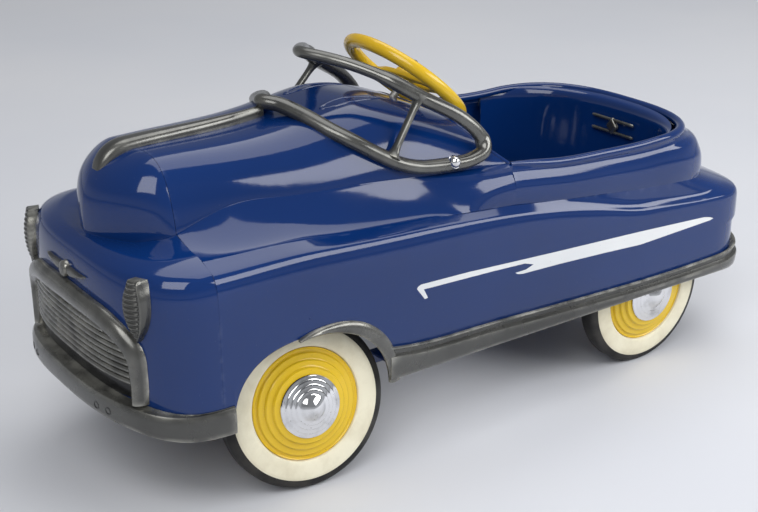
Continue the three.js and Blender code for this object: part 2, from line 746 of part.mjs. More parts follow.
function axleBeam() {
  const half = 9;
  const flat = box(-KINGPIN.x, KINGPIN.x, KINGPIN.y - half, KINGPIN.y + half, 115, 125);
  const ends = [-1, 1].map((side) => discZ(side * KINGPIN.x, KINGPIN.y, half, 115, 125));
  const [front, rear] = [KINGPIN.y - half, KINGPIN.y + half];
  const seats = [-1, 1].map((side) => box(side * 26 - 5, side * 26 + 5, front, rear, 124, 133.7));
  const bore = KINGPIN.radius + GAP;
  const holes = [-1, 1].map((side) => discZ(side * KINGPIN.x, KINGPIN.y, bore, 110, 130));
  return cut(join(flat, ...ends, ...seats), ...holes);
}
add("front_axle_beam", axleBeam(), steel);
addPair("kingpin", join(
  discZ(KINGPIN.x, KINGPIN.y, KINGPIN.radius, 106.5, 132),
  discZ(KINGPIN.x, KINGPIN.y, 7, 131.6, 134),
), steel);

const hangerOutline = [[270, 189.7], [270, 100], [276, 88], [294, 88], [300, 100], [300, 189.7]];
const hanger = join(
  plateX(hangerOutline, 93, 97, [[REAR_AXLE_Y, REAR_HUB_Z, AXLE_RADIUS + FIT]]),
  box(93, 117, 270, 300, 186.7, 189.7),
);
addPair("rear_hanger", hanger, paint);

// ---------------------------------------------------------------- steering
// Steering pieces are drawn about their shaft: local Z along it, local Y down and to the rear.
const shaftFrame = new THREE.Matrix4()
  .makeBasis(vec(1, 0, 0), vec(0, shaftAxis.z, -shaftAxis.y), shaftAxis)
  .setPosition(wheelCentre);
const SHAFT_TOP = 9;
const ARM_PLANE = -347.4;

const onShaftFrame = (geometry) => geometry.applyMatrix4(shaftFrame);
const turnedBySteering = (geometry) => onShaftFrame(geometry.rotateZ(STEER_AT_REST));

const bracketHole = discZ(0, 0, AXLE_RADIUS + FIT, -340, -310);
const bracket = onShaftFrame(cut(box(-30, 30, -14, 20, -328, -324), bracketHole));
const bracketFeet = [-1, 1].map((side) => box(side * 26 - 4, side * 26 + 4, -222, -204, 150.3, 156));
add("steering_bracket", join(bracket, ...bracketFeet), paint);

// The shaft with its drop arm and the arm's pin.
const [armBottom, armTop] = [ARM_PLANE - 2.5, ARM_PLANE + 2.5];
const shaft = join(
  discZ(0, 0, AXLE_RADIUS, armBottom, SHAFT_TOP),
  box(-7, 7, 0, STEER_ARM, armBottom, armTop),
  discZ(0, 0, 9, armBottom, armTop),
  discZ(0, STEER_ARM, 7, armBottom, armTop),
  discZ(0, STEER_ARM, 3, ARM_PLANE - 22, ARM_PLANE),
);
add("steering_shaft", turnedBySteering(shaft), steel);

function steeringWheel() {
  const { radius, grip } = STEER_WHEEL;
  const ring = mergeVertices(withoutSurfaceData(new THREE.TorusGeometry(radius, grip, 10, 40)), 1e-3);
  const side = [[radius, 9], [45, 13], [20, 19], [0, 20]];
  const upper = [...side, ...side.slice(0, -1).reverse().map(([x, y]) => [-x, y])];
  const web = plateZ([...upper, ...[...upper].reverse().map(([x, y]) => [x, -y])], -5, 2);
  const slots = [-1, 1].map((s) => plateZ([[s * 28, -4], [s * 58, -3], [s * 58, 3], [s * 28, 4]], -9, 9));
  const hub = discZ(0, 0, 16, -9, SHAFT_TOP);
  return cut(join(ring, web, hub), ...slots, discZ(0, 0, AXLE_RADIUS + GAP, -20, 20));
}
add("steering_wheel", turnedBySteering(steeringWheel()), yellow);

const capNut = turned([[0, 0], [0, 8], [6, 8], [7, 7], [12, 6.5], [16, 4], [18, 0]], 12)
  .rotateY(-Math.PI / 2)
  .translate(0, 0, SHAFT_TOP + GAP);
add("steering_nut", turnedBySteering(capNut), chrome);

// Pieces that turn on a kingpin are drawn straight ahead on the left, then turned with the steering.
function onKingpin(geometry, side) {
  const placed = side > 0 ? geometry.clone() : mirrored(geometry);
  const x = side * KINGPIN.x;
  return placed.translate(-x, -KINGPIN.y, 0).rotateZ(STEER_AT_REST).translate(x, KINGPIN.y, 0);
}

const stubDirection = vec(Math.cos(CAMBER), 0, Math.sin(CAMBER));
const frontFace = vec(FRONT_FACE.x, KINGPIN.y, FRONT_FACE.z);
const onStub = (distance) => frontFace.clone().addScaledVector(stubDirection, distance);

function knuckle() {
  const { x, y, radius } = KINGPIN;
  const ears = [[109, 114], [126, 131]].flatMap(([z0, z1]) => [
    discZ(x, y, 9.5, z0, z1),
    box(x, 126, y - 9, y + 9, z0, z1),
  ]);
  const armPieces = [
    box(x - 6, x + 6, y, y + STEER_ARM, 109, 113),
    discZ(x, y + STEER_ARM, 7, 109, 113),
    discZ(x, y + STEER_ARM, 3, 99, 111),
  ];
  const web = box(124.5, 129, y - 9, y + 9, 84, 131);
  const stub = bar(onStub(-38), onStub(6), AXLE_RADIUS, 14);
  return cut(join(web, ...ears, ...armPieces, stub), discZ(x, y, radius + GAP, 100, 140));
}
for (const [name, side] of [["left", 1], ["right", -1]])
  add("knuckle_" + name, onKingpin(knuckle(), side), steel);

function tieRod() {
  const shift = -STEER_ARM * Math.sin(STEER_AT_REST);
  const y = KINGPIN.y + STEER_ARM * Math.cos(STEER_AT_REST);
  const ends = [-1, 1].map((side) => discZ(shift + side * KINGPIN.x, y, 8, 103.5, 106.5));
  const holes = [-1, 1].map((side) => discZ(shift + side * KINGPIN.x, y, 3.6, 100, 110));
  const strap = box(shift - KINGPIN.x, shift + KINGPIN.x, y - 6, y + 6, 103.5, 106.5);
  const slot = box(shift - 4.7, shift + 4.7, y - 10, y + 8.5, 100, 110);
  return cut(join(strap, ...ends, discZ(shift, y, 14, 103.5, 106.5)), ...holes, slot);
}
add("tie_rod", tieRod(), steel);

// ---------------------------------------------------------------- wheels
// Wheels are drawn about local X with their outer side at X = 0.
const tyreProfile = [
  [-4.5, RIM_RADIUS + 0.4],
  [-0.6, RIM_RADIUS + 2.5],
  [0, 80],
  [-0.6, 91],
  [-3, 97.5],
  [-7, TYRE_RADIUS],
  [-21, TYRE_RADIUS],
  [-27, 97],
  [-TYRE_WIDTH, 82],
  [-26.5, RIM_RADIUS - 2],
  [-5, RIM_RADIUS - 2],
];
const discProfile = [
  [-3.8, RIM_RADIUS],
  [-3.2, 62],
  [-0.6, 60],
  [0.4, 52],
  [3.4, 50],
  [4.4, 43],
  [8, 41],
  [8.4, 20],
  [6, AXLE_RADIUS + FIT],
  [-28, AXLE_RADIUS + FIT],
  [-28, 11],
  [-1, 12],
  [-3.5, 50],
  [-7, 63],
  [-24, 63.5],
  [-24, RIM_RADIUS - 2.8],
  [-5, RIM_RADIUS - 2.8],
  [-4.3, RIM_RADIUS],
];
const capProfile = [
  [12, 0],
  [12, 28],
  [8.7, 30],
  [8.7, 37.5],
  [11, 36],
  [11.6, 31],
  [13.2, 24.5],
  [14, 18],
  [15.4, 11],
  [20, 9],
  [22.4, 5],
  [23, 0],
];

const wheelPieces = () => [
  ["tyre", turned(tyreProfile, 28), rubber],
  ["disc", turned(discProfile, 20), yellow],
  ["hubcap", turned(capProfile, 20), chrome],
];
for (const [name, side] of [["left", 1], ["right", -1]]) {
  for (const [piece, geometry, material] of wheelPieces()) {
    const placed = geometry.rotateY(-CAMBER).translate(...frontFace.toArray());
    add(`front_${piece}_${name}`, onKingpin(placed, side), material);
  }
  for (const [piece, geometry, material] of wheelPieces()) {
    const placed = geometry.translate(REAR_FACE_X, REAR_AXLE_Y, REAR_HUB_Z);
    add(`rear_${piece}_${name}`, side > 0 ? placed : mirrored(placed), material);
  }
}

// ---------------------------------------------------------------- pedal drive
const alongX = (x0, x1, y, z, radius, sides = 12) => bar(vec(x0, y, z), vec(x1, y, z), radius, sides);

// The left crank throw points forward and the right one to the rear.
function crankAxle() {
  const end = REAR_FACE_X + 6;
  const pieces = [alongX(-27.5, 27.5, REAR_AXLE_Y, REAR_HUB_Z, AXLE_RADIUS)];
  for (const side of [1, -1]) {
    const throwY = REAR_AXLE_Y - side * CRANK_RADIUS;
    const [y0, y1] = [Math.min(throwY, REAR_AXLE_Y), Math.max(throwY, REAR_AXLE_Y)];
    for (const x of [CRANK_X - 12.5, CRANK_X + 7.5]) {
      const [x0, x1] = side > 0 ? [x, x + 5] : [-x - 5, -x];
      pieces.push(box(x0, x1, y0, y1, REAR_HUB_Z - 7, REAR_HUB_Z + 7));
      pieces.push(alongX(x0, x1, y0, REAR_HUB_Z, 8), alongX(x0, x1, y1, REAR_HUB_Z, 8));
    }
    pieces.push(alongX(side * (CRANK_X - 9), side * (CRANK_X + 9), throwY, REAR_HUB_Z, AXLE_RADIUS));
    pieces.push(alongX(side * (CRANK_X + 10), side * end, REAR_AXLE_Y, REAR_HUB_Z, AXLE_RADIUS));
  }
  return join(...pieces);
}
add("crank_axle", crankAxle(), steel);

const ARM_SWING = THREE.MathUtils.degToRad(17.5);

// side 1 is the left pedal, swung forward; side -1 the right one, swung to the rear.
function onArm(side, distance) {
  const angle = side * ARM_SWING;
  return [PEDAL_PIVOT.y - distance * Math.sin(angle), PEDAL_PIVOT.z - distance * Math.cos(angle)];
}

// A flat link between two round eyes in the YZ plane.
function link(x0, x1, [y0, z0], [y1, z1], half) {
  const length = Math.hypot(y1 - y0, z1 - z0);
  const [ny, nz] = [(-(z1 - z0) / length) * half, ((y1 - y0) / length) * half];
  const sides = [[y0 + ny, z0 + nz], [y0 - ny, z0 - nz], [y1 - ny, z1 - nz], [y1 + ny, z1 + nz]];
  return plateX(sides, x0, x1);
}

for (const [name, side] of [["left", 1], ["right", -1]]) {
  const pin = [REAR_AXLE_Y - side * CRANK_RADIUS, REAR_HUB_Z];
  const joint = onArm(side, PEDAL_ARM.drive);
  const rodX = [side * CRANK_X - 1.5, side * CRANK_X + 1.5];
  const ends = [alongX(...rodX, ...pin, 10, 16), alongX(...rodX, ...joint, 8)];
  const rod = join(link(...rodX, pin, joint, 6), ...ends);
  const through = [rodX[0] - 5, rodX[1] + 5];
  const eyes = [alongX(...through, ...pin, 5.7, 16), alongX(...through, ...joint, 3.6)];
  add("push_rod_" + name, cut(rod, ...eyes), steel);

  const armX = [side * PEDAL_ARM.x - 1.5, side * PEDAL_ARM.x + 1.5];
  const pivot = [PEDAL_PIVOT.y, PEDAL_PIVOT.z];
  const foot = onArm(side, PEDAL_ARM.length);
  const arm = join(
    link(...armX, pivot, foot, 7),
    alongX(...armX, ...pivot, 10, 16),
    alongX(...armX, ...foot, 8),
    alongX(side * 42.2, side * 46, ...joint, 3),
    alongX(side * 46, side * 101, ...foot, 3.5),
  );
  add("pedal_arm_" + name, cut(arm, alongX(armX[0] - 5, armX[1] + 5, ...pivot, 4.7, 16)), steel);

  const tread = box(side * 76 - 23, side * 76 + 23, foot[0] - 15, foot[0] + 15, foot[1] - 9, foot[1] + 9);
  add("pedal_" + name, cut(tread, alongX(side * 40, side * 110, ...foot, 4.2, 16)), rubber);
}

const ears = [-1, 1].map((side) => box(side * 112 - 1.5, side * 112 + 1.5, -70, -50, 294, 352));
add("pedal_hanger_rod", join(alongX(-116, 116, PEDAL_PIVOT.y, PEDAL_PIVOT.z, 4), ...ears), steel);

export default car;
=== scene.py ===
"""A pressed-steel pedal car on a pale studio floor. Shapes are drawn in millimetres in the part's own frame:
+X is the car's left, +Y its rear, +Z up, and the tyres stand on Z = 0."""

import math

import bpy
import numpy as np
from mathutils import Matrix, Vector


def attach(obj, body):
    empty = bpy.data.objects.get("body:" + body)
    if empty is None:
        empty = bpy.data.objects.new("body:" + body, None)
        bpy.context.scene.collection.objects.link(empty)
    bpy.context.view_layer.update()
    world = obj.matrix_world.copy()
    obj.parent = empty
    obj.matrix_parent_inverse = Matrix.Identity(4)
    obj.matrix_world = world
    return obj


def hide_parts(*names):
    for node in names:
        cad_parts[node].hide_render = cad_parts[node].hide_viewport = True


MM = 0.001
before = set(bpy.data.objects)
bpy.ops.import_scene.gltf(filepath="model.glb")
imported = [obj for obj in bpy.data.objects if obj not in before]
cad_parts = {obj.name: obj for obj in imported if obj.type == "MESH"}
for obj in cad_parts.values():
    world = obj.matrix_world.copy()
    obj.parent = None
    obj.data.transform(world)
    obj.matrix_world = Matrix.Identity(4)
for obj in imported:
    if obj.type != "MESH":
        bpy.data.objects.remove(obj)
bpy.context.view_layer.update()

# ---------------------------------------------------------------- body dimensions, in millimetres
BODY_HALF = 180.0
SEAM_Y = -378.0
COWL_Y = 40.0
NOSE_CENTRE_Y = -365.0
TAIL_Y = 250.0
PANEL_BOTTOM = 126.0
SILL_BOTTOM = 112.0
ARCH_Y, ARCH_HALF = -263.0, 103.0
ARCH_Z, ARCH_RISE, ARCH_POWER = 100, 95, 2.6  # centre height, height above it, squareness
CAMBER = 0.171
STEER = -0.105
KINGPIN_X, KINGPIN_Y = 112.5, -257.0
FRONT_FACE_X, FRONT_FACE_Z = 162.0, 102.13
REAR_FACE_X, REAR_AXLE_Y, REAR_HUB_Z = 161.7, 285.0, 100.0
WHEEL_CENTRE = np.array([0.0, -4.0, 408.0])
TILT = math.radians(42)


# ---------------------------------------------------------------- curves
def rail(*knots):
    """A smooth curve through (position, value) knots, flat beyond its ends."""
    xs = np.array([k[0] for k in knots], float)
    vs = np.array([k[1] for k in knots], float)
    slopes = np.gradient(vs, xs)

    def at(s):
        s = np.clip(np.asarray(s, float), xs[0], xs[-1])
        i = np.clip(np.searchsorted(xs, s) - 1, 0, len(xs) - 2)
        h = xs[i + 1] - xs[i]
        t = (s - xs[i]) / h
        return (
            vs[i] * (2 * t**3 - 3 * t**2 + 1)
            + slopes[i] * h * (t**3 - 2 * t**2 + t)
            + vs[i + 1] * (3 * t**2 - 2 * t**3)
            + slopes[i + 1] * h * (t**3 - t**2)
        )

    return at


def lerp(a, b, t):
    return a + (b - a) * t


def smooth_line(points, per_span=6, closed=False):
    """Centripetal Catmull-Rom through points, per_span samples between neighbours."""
    p = np.asarray(points, float)
    n = len(p)
    if closed:
        p = np.vstack([p[-1], p, p[0], p[1]])
        spans = n
    else:
        p = np.vstack([2 * p[0] - p[1], p, 2 * p[-1] - p[-2]])
        spans = n - 1
    out = []
    for i in range(spans):
        p0, p1, p2, p3 = p[i : i + 4]
        t0 = 0.0
        t1 = t0 + max(np.linalg.norm(p1 - p0), 1e-6) ** 0.5
        t2 = t1 + max(np.linalg.norm(p2 - p1), 1e-6) ** 0.5
        t3 = t2 + max(np.linalg.norm(p3 - p2), 1e-6) ** 0.5
        for k in range(per_span):
            t = lerp(t1, t2, k / per_span)
            a1 = lerp(p0, p1, (t - t0) / (t1 - t0))
            a2 = lerp(p1, p2, (t - t1) / (t2 - t1))
            a3 = lerp(p2, p3, (t - t2) / (t3 - t2))
            b1 = lerp(a1, a2, (t - t0) / (t2 - t0))
            b2 = lerp(a2, a3, (t - t1) / (t3 - t1))
            out.append(lerp(b1, b2, (t - t1) / (t2 - t1)))
    if not closed:
        out.append(p[-2])
    return np.array(out)


def filleted(points, radii, steps):
    """A polyline with each inner corner rounded: steps[i] points, from radii[i] before the corner."""
    out = [np.asarray(points[0], float)]
    for a, b, c, r, count in zip(points[:-2], points[1:-1], points[2:], radii, steps):
        a, b, c = (np.asarray(v, float) for v in (a, b, c))
        ra, rc = r if isinstance(r, tuple) else (r, r)
        start = b + (a - b) * min(0.49, ra / np.linalg.norm(a - b))
        end = b + (c - b) * min(0.49, rc / np.linalg.norm(c - b))
        for t in np.linspace(0, 1, count):
            out.append((1 - t) ** 2 * start + 2 * t * (1 - t) * b + t**2 * end)
    out.append(np.asarray(points[-1], float))
    return np.array(out)


# ---------------------------------------------------------------- meshes
def make(name, verts, faces, material, body="body", replaces=(), slot=None, sharp=35, face_slots=None):
    mesh = bpy.data.meshes.new(name)
    places = [tuple(np.asarray(v, float) * MM) for v in verts]
    mesh.from_pydata(places, [], [tuple(map(int, f)) for f in faces])
    for m in material if isinstance(material, (list, tuple)) else [material]:
        mesh.materials.append(m)
    if face_slots is not None:
        mesh.polygons.foreach_set("material_index", np.asarray(face_slots, np.int32))
    mesh.update()
    mesh.shade_smooth()
    mesh.set_sharp_from_angle(angle=math.radians(sharp))
    obj = bpy.data.objects.new(name, mesh)
    bpy.context.scene.collection.objects.link(obj)
    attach(obj, body)
    if replaces:
        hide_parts(*replaces)
    return obj


def outward(verts, faces):
    """Turns every face round when the mesh encloses a negative volume."""
    v = np.asarray(verts, float)
    volume = 0.0
    for f in faces:
        for k in range(1, len(f) - 1):
            volume += np.dot(v[f[0]], np.cross(v[f[k]], v[f[k + 1]]))
    return [tuple(reversed(f)) for f in faces] if volume < 0 else faces


def grid_faces(rows, columns, wrap_rows=False, wrap_columns=False, start=0):
    faces = []
    for i in range(rows if wrap_rows else rows - 1):
        for k in range(columns if wrap_columns else columns - 1):
            a, b = i * columns + k, i * columns + (k + 1) % columns
            c, d = (i + 1) % rows * columns + (k + 1) % columns, (i + 1) % rows * columns + k
            faces.append((start + a, start + b, start + c, start + d))
    return faces


def grid_normals(grid):
    along = np.gradient(grid, axis=0)
    across = np.gradient(grid, axis=1)
    n = np.cross(along, across)
    length = np.linalg.norm(n, axis=2, keepdims=True)
    return n / np.maximum(length, 1e-9)


def shell(name, grid, inside, material, thickness=2.0, **kw):
    """A pressed panel: the outer grid, an inner one towards a point inside, and the raw edge between."""
    grid = np.asarray(grid, float)
    rows, columns, _ = grid.shape
    normals = grid_normals(grid)
    sign = 1 if np.sum(normals * (np.asarray(inside, float) - grid)) > 0 else -1
    inner = grid + normals * sign * thickness
    count = rows * columns
    verts = np.vstack([grid.reshape(-1, 3), inner.reshape(-1, 3)])
    faces = grid_faces(rows, columns)
    faces += [tuple(count + v for v in reversed(f)) for f in faces]
    border = [(0, k) for k in range(columns)] + [(i, columns - 1) for i in range(1, rows)]
    border += [(rows - 1, k) for k in range(columns - 2, -1, -1)] + [(i, 0) for i in range(rows - 2, 0, -1)]
    ids = [i * columns + k for i, k in border]
    for a, b in zip(ids, ids[1:] + ids[:1]):
        faces.append((b, a, count + a, count + b))
    return make(name, verts, outward(verts, faces), material, **kw)


def loft(name, loops, material, closed=False, **kw):
    """Loops of equal length joined into one solid, with a face over each end unless it closes on itself."""
    loops = np.asarray(loops, float)
    rows, columns, _ = loops.shape
    faces = grid_faces(rows, columns, wrap_rows=closed, wrap_columns=True)
    if not closed:
        faces.append(tuple(reversed(range(columns))))
        faces.append(tuple((rows - 1) * columns + k for k in range(columns)))
    verts = loops.reshape(-1, 3)
    return make(name, verts, outward(verts, faces), material, **kw)


def sweep(path, section, up=None, scale=None, closed=False):
    """Loops of a section (side, up) carried along a path; up is a vector, or one for each point."""
    path = np.asarray(path, float)
    n = len(path)
    if closed:
        tangent = np.roll(path, -1, 0) - np.roll(path, 1, 0)
    else:
        tangent = np.gradient(path, axis=0)
    tangent /= np.linalg.norm(tangent, axis=1, keepdims=True)
    ups = np.broadcast_to(np.asarray(up if up is not None else (0, 0, 1), float), (n, 3))
    side = np.cross(tangent, ups)
    side /= np.linalg.norm(side, axis=1, keepdims=True)
    top = np.cross(side, tangent)
    section = np.asarray(section, float)
    factor = np.ones(n) if scale is None else np.asarray(scale, float)
    return (
        path[:, None, :]
        + side[:, None, :] * section[None, :, :1] * factor[:, None, None]
        + top[:, None, :] * section[None, :, 1:] * factor[:, None, None]
    )


def oval(a, b, sides=16, power=2.0):
    angle = np.linspace(0, 2 * np.pi, sides, endpoint=False)
    c, s = np.cos(angle), np.sin(angle)
    return np.stack([a * np.sign(c) * np.abs(c) ** (2 / power),
                     b * np.sign(s) * np.abs(s) ** (2 / power)], 1)


def lathe(profile, segments=96, closed=True):
    """Vertices and faces of (x, radius) points turned about X; a radius of 0 closes an end."""
    verts, rings, faces = [], [], []
    for x, r in profile:
        if r < 1e-6:
            rings.append([len(verts)] * segments)
            verts.append((x, 0, 0))
        else:
            rings.append(list(range(len(verts), len(verts) + segments)))
            for k in range(segments):
                a = 2 * math.pi * k / segments
                verts.append((x, r * math.sin(a), r * math.cos(a)))
    pairs = list(zip(rings, rings[1:]))
    if closed and profile[0][1] > 1e-6:
        pairs.append((rings[-1], rings[0]))
    for lower, upper in pairs:
        for k in range(segments):
            j = (k + 1) % segments
            face = [lower[k], lower[j], upper[j], upper[k]]
            face = [v for i, v in enumerate(face) if v not in face[:i]]
            if len(face) > 2:
                faces.append(tuple(face))
    verts = np.array(verts)
    return verts, outward(verts, faces)


def mirror_x(verts, faces):
    return np.asarray(verts) * (-1, 1, 1), [tuple(reversed(f)) for f in faces]


def turn(verts, matrix):
    m = np.array(matrix)
    return np.asarray(verts) @ m[:3, :3].T + m[:3, 3]


# ---------------------------------------------------------------- materials
class Nodes:
    """A short way to write a node material."""

    def __init__(self, name):
        self.material = bpy.data.materials.new(name)
        self.material.use_nodes = True
        self.tree = self.material.node_tree
        self.tree.nodes.clear()
        self.output = self.add("ShaderNodeOutputMaterial")
        self.shader = self.add("ShaderNodeBsdfPrincipled")
        self.link(self.shader.outputs[0], self.output.inputs["Surface"])
        self.place = self.add("ShaderNodeTexCoord").outputs["Object"]

    def add(self, kind, **values):
        node = self.tree.nodes.new(kind)
        for key, value in values.items():
            setattr(node, key, value)
        return node

    def link(self, a, b):
        self.tree.links.new(a, b)

    def set(self, **values):
        for key, value in values.items():
            socket = self.shader.inputs[key.replace("_", " ")]
            if isinstance(value, bpy.types.NodeSocket):
                self.link(value, socket)
            else:
                socket.default_value = value

    def noise(self, scale, detail=3.0, roughness=0.5, place=None):
        node = self.add("ShaderNodeTexNoise")
        node.inputs["Scale"].default_value = scale
        node.inputs["Detail"].default_value = detail
        node.inputs["Roughness"].default_value = roughness
        self.link(place or self.place, node.inputs["Vector"])
        return node.outputs["Fac"]

    def stretched(self, x, y, z):
        node = self.add("ShaderNodeMapping")
        node.inputs["Scale"].default_value = (x, y, z)
        self.link(self.place, node.inputs["Vector"])
        return node.outputs[0]

    def ramp(self, fac, low, high, to_low=0.0, to_high=1.0):
        node = self.add("ShaderNodeMapRange")
        for key, value in (("From Min", low), ("From Max", high), ("To Min", to_low), ("To Max", to_high)):
            node.inputs[key].default_value = value
        self.link(fac, node.inputs["Value"])
        return node.outputs[0]

    def math(self, operation, a, b):
        node = self.add("ShaderNodeMath", operation=operation)
        for socket, value in zip(node.inputs, (a, b)):
            if isinstance(value, bpy.types.NodeSocket):
                self.link(value, socket)
            else:
                socket.default_value = value
        return node.outputs[0]

    def mix(self, fac, a, b):
        node = self.add("ShaderNodeMix", data_type="RGBA")
        for index, value in ((0, fac), (6, a), (7, b)):
            if isinstance(value, bpy.types.NodeSocket):
                self.link(value, node.inputs[index])
            else:
                node.inputs[index].default_value = value
        return node.outputs[2]

    def edges(self, low, high):
        """1 on outer edges that wear first, 0 elsewhere."""
        return self.ramp(self.add("ShaderNodeNewGeometry").outputs["Pointiness"], low, high)

    def bump(self, height, strength, distance=0.001):
        node = self.add("ShaderNodeBump")
        node.inputs["Strength"].default_value = strength
        node.inputs["Distance"].default_value = distance
        self.link(height, node.inputs["Height"])
        self.link(node.outputs[0], self.shader.inputs["Normal"])


def rgb(r, g, b):
    """Display colour (0..255) to the renderer's linear colour."""
    linear = [((v / 255 + 0.055) / 1.055) ** 2.4 if v > 10.3 else v / 255 / 12.92 for v in (r, g, b)]
    return (*linear, 1.0)


def enamel(name, colour, dark, worn, roughness=0.05, wear=1.0):
    """Glossy paint: slow shade changes, fine orange peel, dust specks, and a paler line on worn edges."""
    n = Nodes(name)
    tone = n.mix(n.ramp(n.noise(3.0), 0.3, 0.7), dark, colour)
    specks = n.ramp(n.noise(420.0, 1.0), 0.775, 0.785, 0.0, 0.4 * wear)
    tone = n.mix(specks, tone, worn)
    chips = n.math("MULTIPLY", n.edges(0.53, 0.6), n.ramp(n.noise(60.0, 5.0), 0.5, 0.66, 0.0, 0.7 * wear))
    tone = n.mix(chips, tone, worn)
    n.set(Base_Color=tone, Coat_Weight=0.08, Coat_Roughness=0.03, Specular_IOR_Level=0.46)
    n.set(Roughness=n.ramp(n.noise(14.0, 4.0), 0.3, 0.75, roughness, roughness + 0.09))
    peel = n.math("ADD", n.noise(90.0, 1.0), n.math("MULTIPLY", n.noise(9.0, 2.0), 1.6))
    n.bump(peel, 0.08, 0.0006)
    return n.material


def metal_paint(name, colour, dark, bright):
    """Satin grey metal-flake paint, rubbed brighter along its edges."""
    n = Nodes(name)
    tone = n.mix(n.ramp(n.noise(7.0, 4.0), 0.35, 0.7), dark, colour)
    rubbed = n.math("MULTIPLY", n.edges(0.52, 0.58), n.ramp(n.noise(45.0, 4.0), 0.35, 0.65, 0.1, 0.8))
    tone = n.mix(rubbed, tone, bright)
    n.set(Base_Color=tone, Metallic=0.75, Coat_Weight=0.15, Coat_Roughness=0.12)
    n.set(Roughness=n.ramp(n.noise(22.0, 4.0), 0.3, 0.7, 0.2, 0.34))
    n.bump(n.noise(380.0, 2.0), 0.08, 0.0004)
    return n.material


def plating(name, colour=(0.78, 0.78, 0.79, 1), dull=(0.5, 0.5, 0.5, 1), roughness=0.04):
    """Chrome with faint dulled patches and small pits."""
    n = Nodes(name)
    patches = n.ramp(n.noise(34.0, 5.0, 0.6), 0.5, 0.72)
    pits = n.ramp(n.noise(520.0, 2.0), 0.7, 0.74)
    tone = n.mix(pits, n.mix(patches, colour, dull), (0.12, 0.1, 0.08, 1))
    n.set(Base_Color=tone, Metallic=1.0)
    dulled = n.ramp(patches, 0, 1, roughness, roughness + 0.12)
    n.set(Roughness=n.math("ADD", dulled, n.math("MULTIPLY", pits, 0.3)))
    n.bump(n.noise(120.0, 2.0), 0.05, 0.0004)
    return n.material


def bare_steel(name):
    n = Nodes(name)
    streaks = n.noise(30.0, 4.0, 0.6, n.stretched(1.0, 8.0, 8.0))
    rust = n.ramp(n.noise(26.0, 6.0, 0.65), 0.56, 0.7, 0.0, 0.75)
    tone = n.mix(rust, n.mix(streaks, (0.2, 0.2, 0.2, 1), (0.42, 0.42, 0.41, 1)), (0.13, 0.055, 0.025, 1))
    n.set(Base_Color=tone, Metallic=n.ramp(rust, 0, 1, 0.9, 0.1))
    n.set(Roughness=n.math("ADD", n.ramp(streaks, 0.2, 0.8, 0.28, 0.46), n.math("MULTIPLY", rust, 0.4)))
    n.bump(n.math("ADD", streaks, n.noise(160.0, 3.0)), 0.15, 0.0005)
    return n.material


def rubber(name, colour, pale, dusty=0.5):
    n = Nodes(name)
    dust = n.ramp(n.noise(18.0, 6.0, 0.62), 0.42, 0.75, 0.0, dusty)
    n.set(Base_Color=n.mix(dust, colour, pale), Specular_IOR_Level=0.35)
    n.set(Roughness=n.ramp(n.noise(40.0, 4.0), 0.3, 0.7, 0.5, 0.72))
    n.bump(n.math("ADD", n.noise(260.0, 3.0), n.noise(35.0, 2.0)), 0.18, 0.0006)
    return n.material


BLUE = enamel("blue enamel", (0.0025, 0.025, 0.128, 1), (0.0018, 0.019, 0.1, 1), rgb(60, 76, 118))
YELLOW = enamel("yellow enamel", rgb(226, 190, 40), rgb(208, 168, 30), rgb(120, 90, 40), 0.16)
WHITE = enamel("white enamel", rgb(226, 228, 228), rgb(205, 208, 212), rgb(60, 70, 110), 0.2, 0.6)
GREY = metal_paint("grey trim paint", rgb(104, 104, 101), rgb(74, 74, 72), rgb(190, 188, 178))
# Painted shade: a dark grey laid in the grille's recess and in the bumper's holes, standing in for the shade
# inside these openings.
RECESS_SHADE = metal_paint("painted recess shade", rgb(40, 40, 41), rgb(28, 28, 29), rgb(80, 80, 80))
CHROME = plating("chrome")
STEEL = bare_steel("bare steel")
TREAD = rubber("black rubber", rgb(24, 24, 25), rgb(92, 88, 82))
SIDEWALL = rubber("cream sidewall", rgb(232, 226, 202), rgb(196, 186, 158), 0.8)


# ---------------------------------------------------------------- body lines, as functions of y
ridge_z = rail(
    (-378, 391), (-219, 396), (-175, 402), (-110, 409), (-75, 404), (-35, 392), (0, 378), (40, 360),
)
hood_x = rail((-378, 93), (-313, 98), (-230, 108), (-140, 118), (-60, 128), (40, 150))
hood_z = rail((-378, 314), (-313, 335), (-230, 333), (-140, 331), (-60, 327), (40, 328))
deck_x = rail((-378, 150), (-250, 153), (-70, 158), (60, 166), (200, 168), (290, 168))
deck_z = rail(
    (-400, 302), (-378, 301), (-260, 298), (-222, 294), (-70, 286), (15, 281), (82, 274),
    (185, 264), (257, 256), (330, 251), (368, 247), (425, 243),
)
corner_z = rail(
    (-378, 289), (-250, 287.5), (-143, 281), (-60, 276), (20, 268), (100, 256),
    (170, 243), (243, 229), (288, 225), (357, 219), (425, 216),
)
side_fillet = rail((-378, 30), (-143, 48), (-60, 52), (60, 44), (150, 26), (243, 14), (425, 10))
top_fillet = rail((-378, 20), (-60, 17), (60, 11), (150, 8), (243, 6), (425, 6))
ledge_share = rail((60, 0), (250, 1))
rim_z = rail((33, 331), (68, 328), (120, 322), (185, 319), (256, 317), (290, 318))
rim_x = rail((40, 153), (120, 157), (250, 157))
STEP_Z = (173.0, 179.0)  # a pressed step along the tail
INSIDE = (0.0, -60.0, 170.0)


def spaced(*spans):
    """Stations through (start, end, count) spans that follow each other."""
    parts = [np.linspace(a, b, n, endpoint=False) for a, b, n in spans]
    return np.concatenate(parts + [[spans[-1][1]]])


def ring_point(width, start, back, power, s):
    """Plan of the left half of a tail ring: s is 0..1 straight to the rear, 1..2 round to the middle."""
    if s <= 1:
        return width, lerp(TAIL_Y, start, s)
    angle = (s - 1) * math.pi / 2
    x = width * max(0.0, math.cos(angle)) ** (2 / power)
    return x, start + (back - start) * math.sin(angle) ** (2 / power)


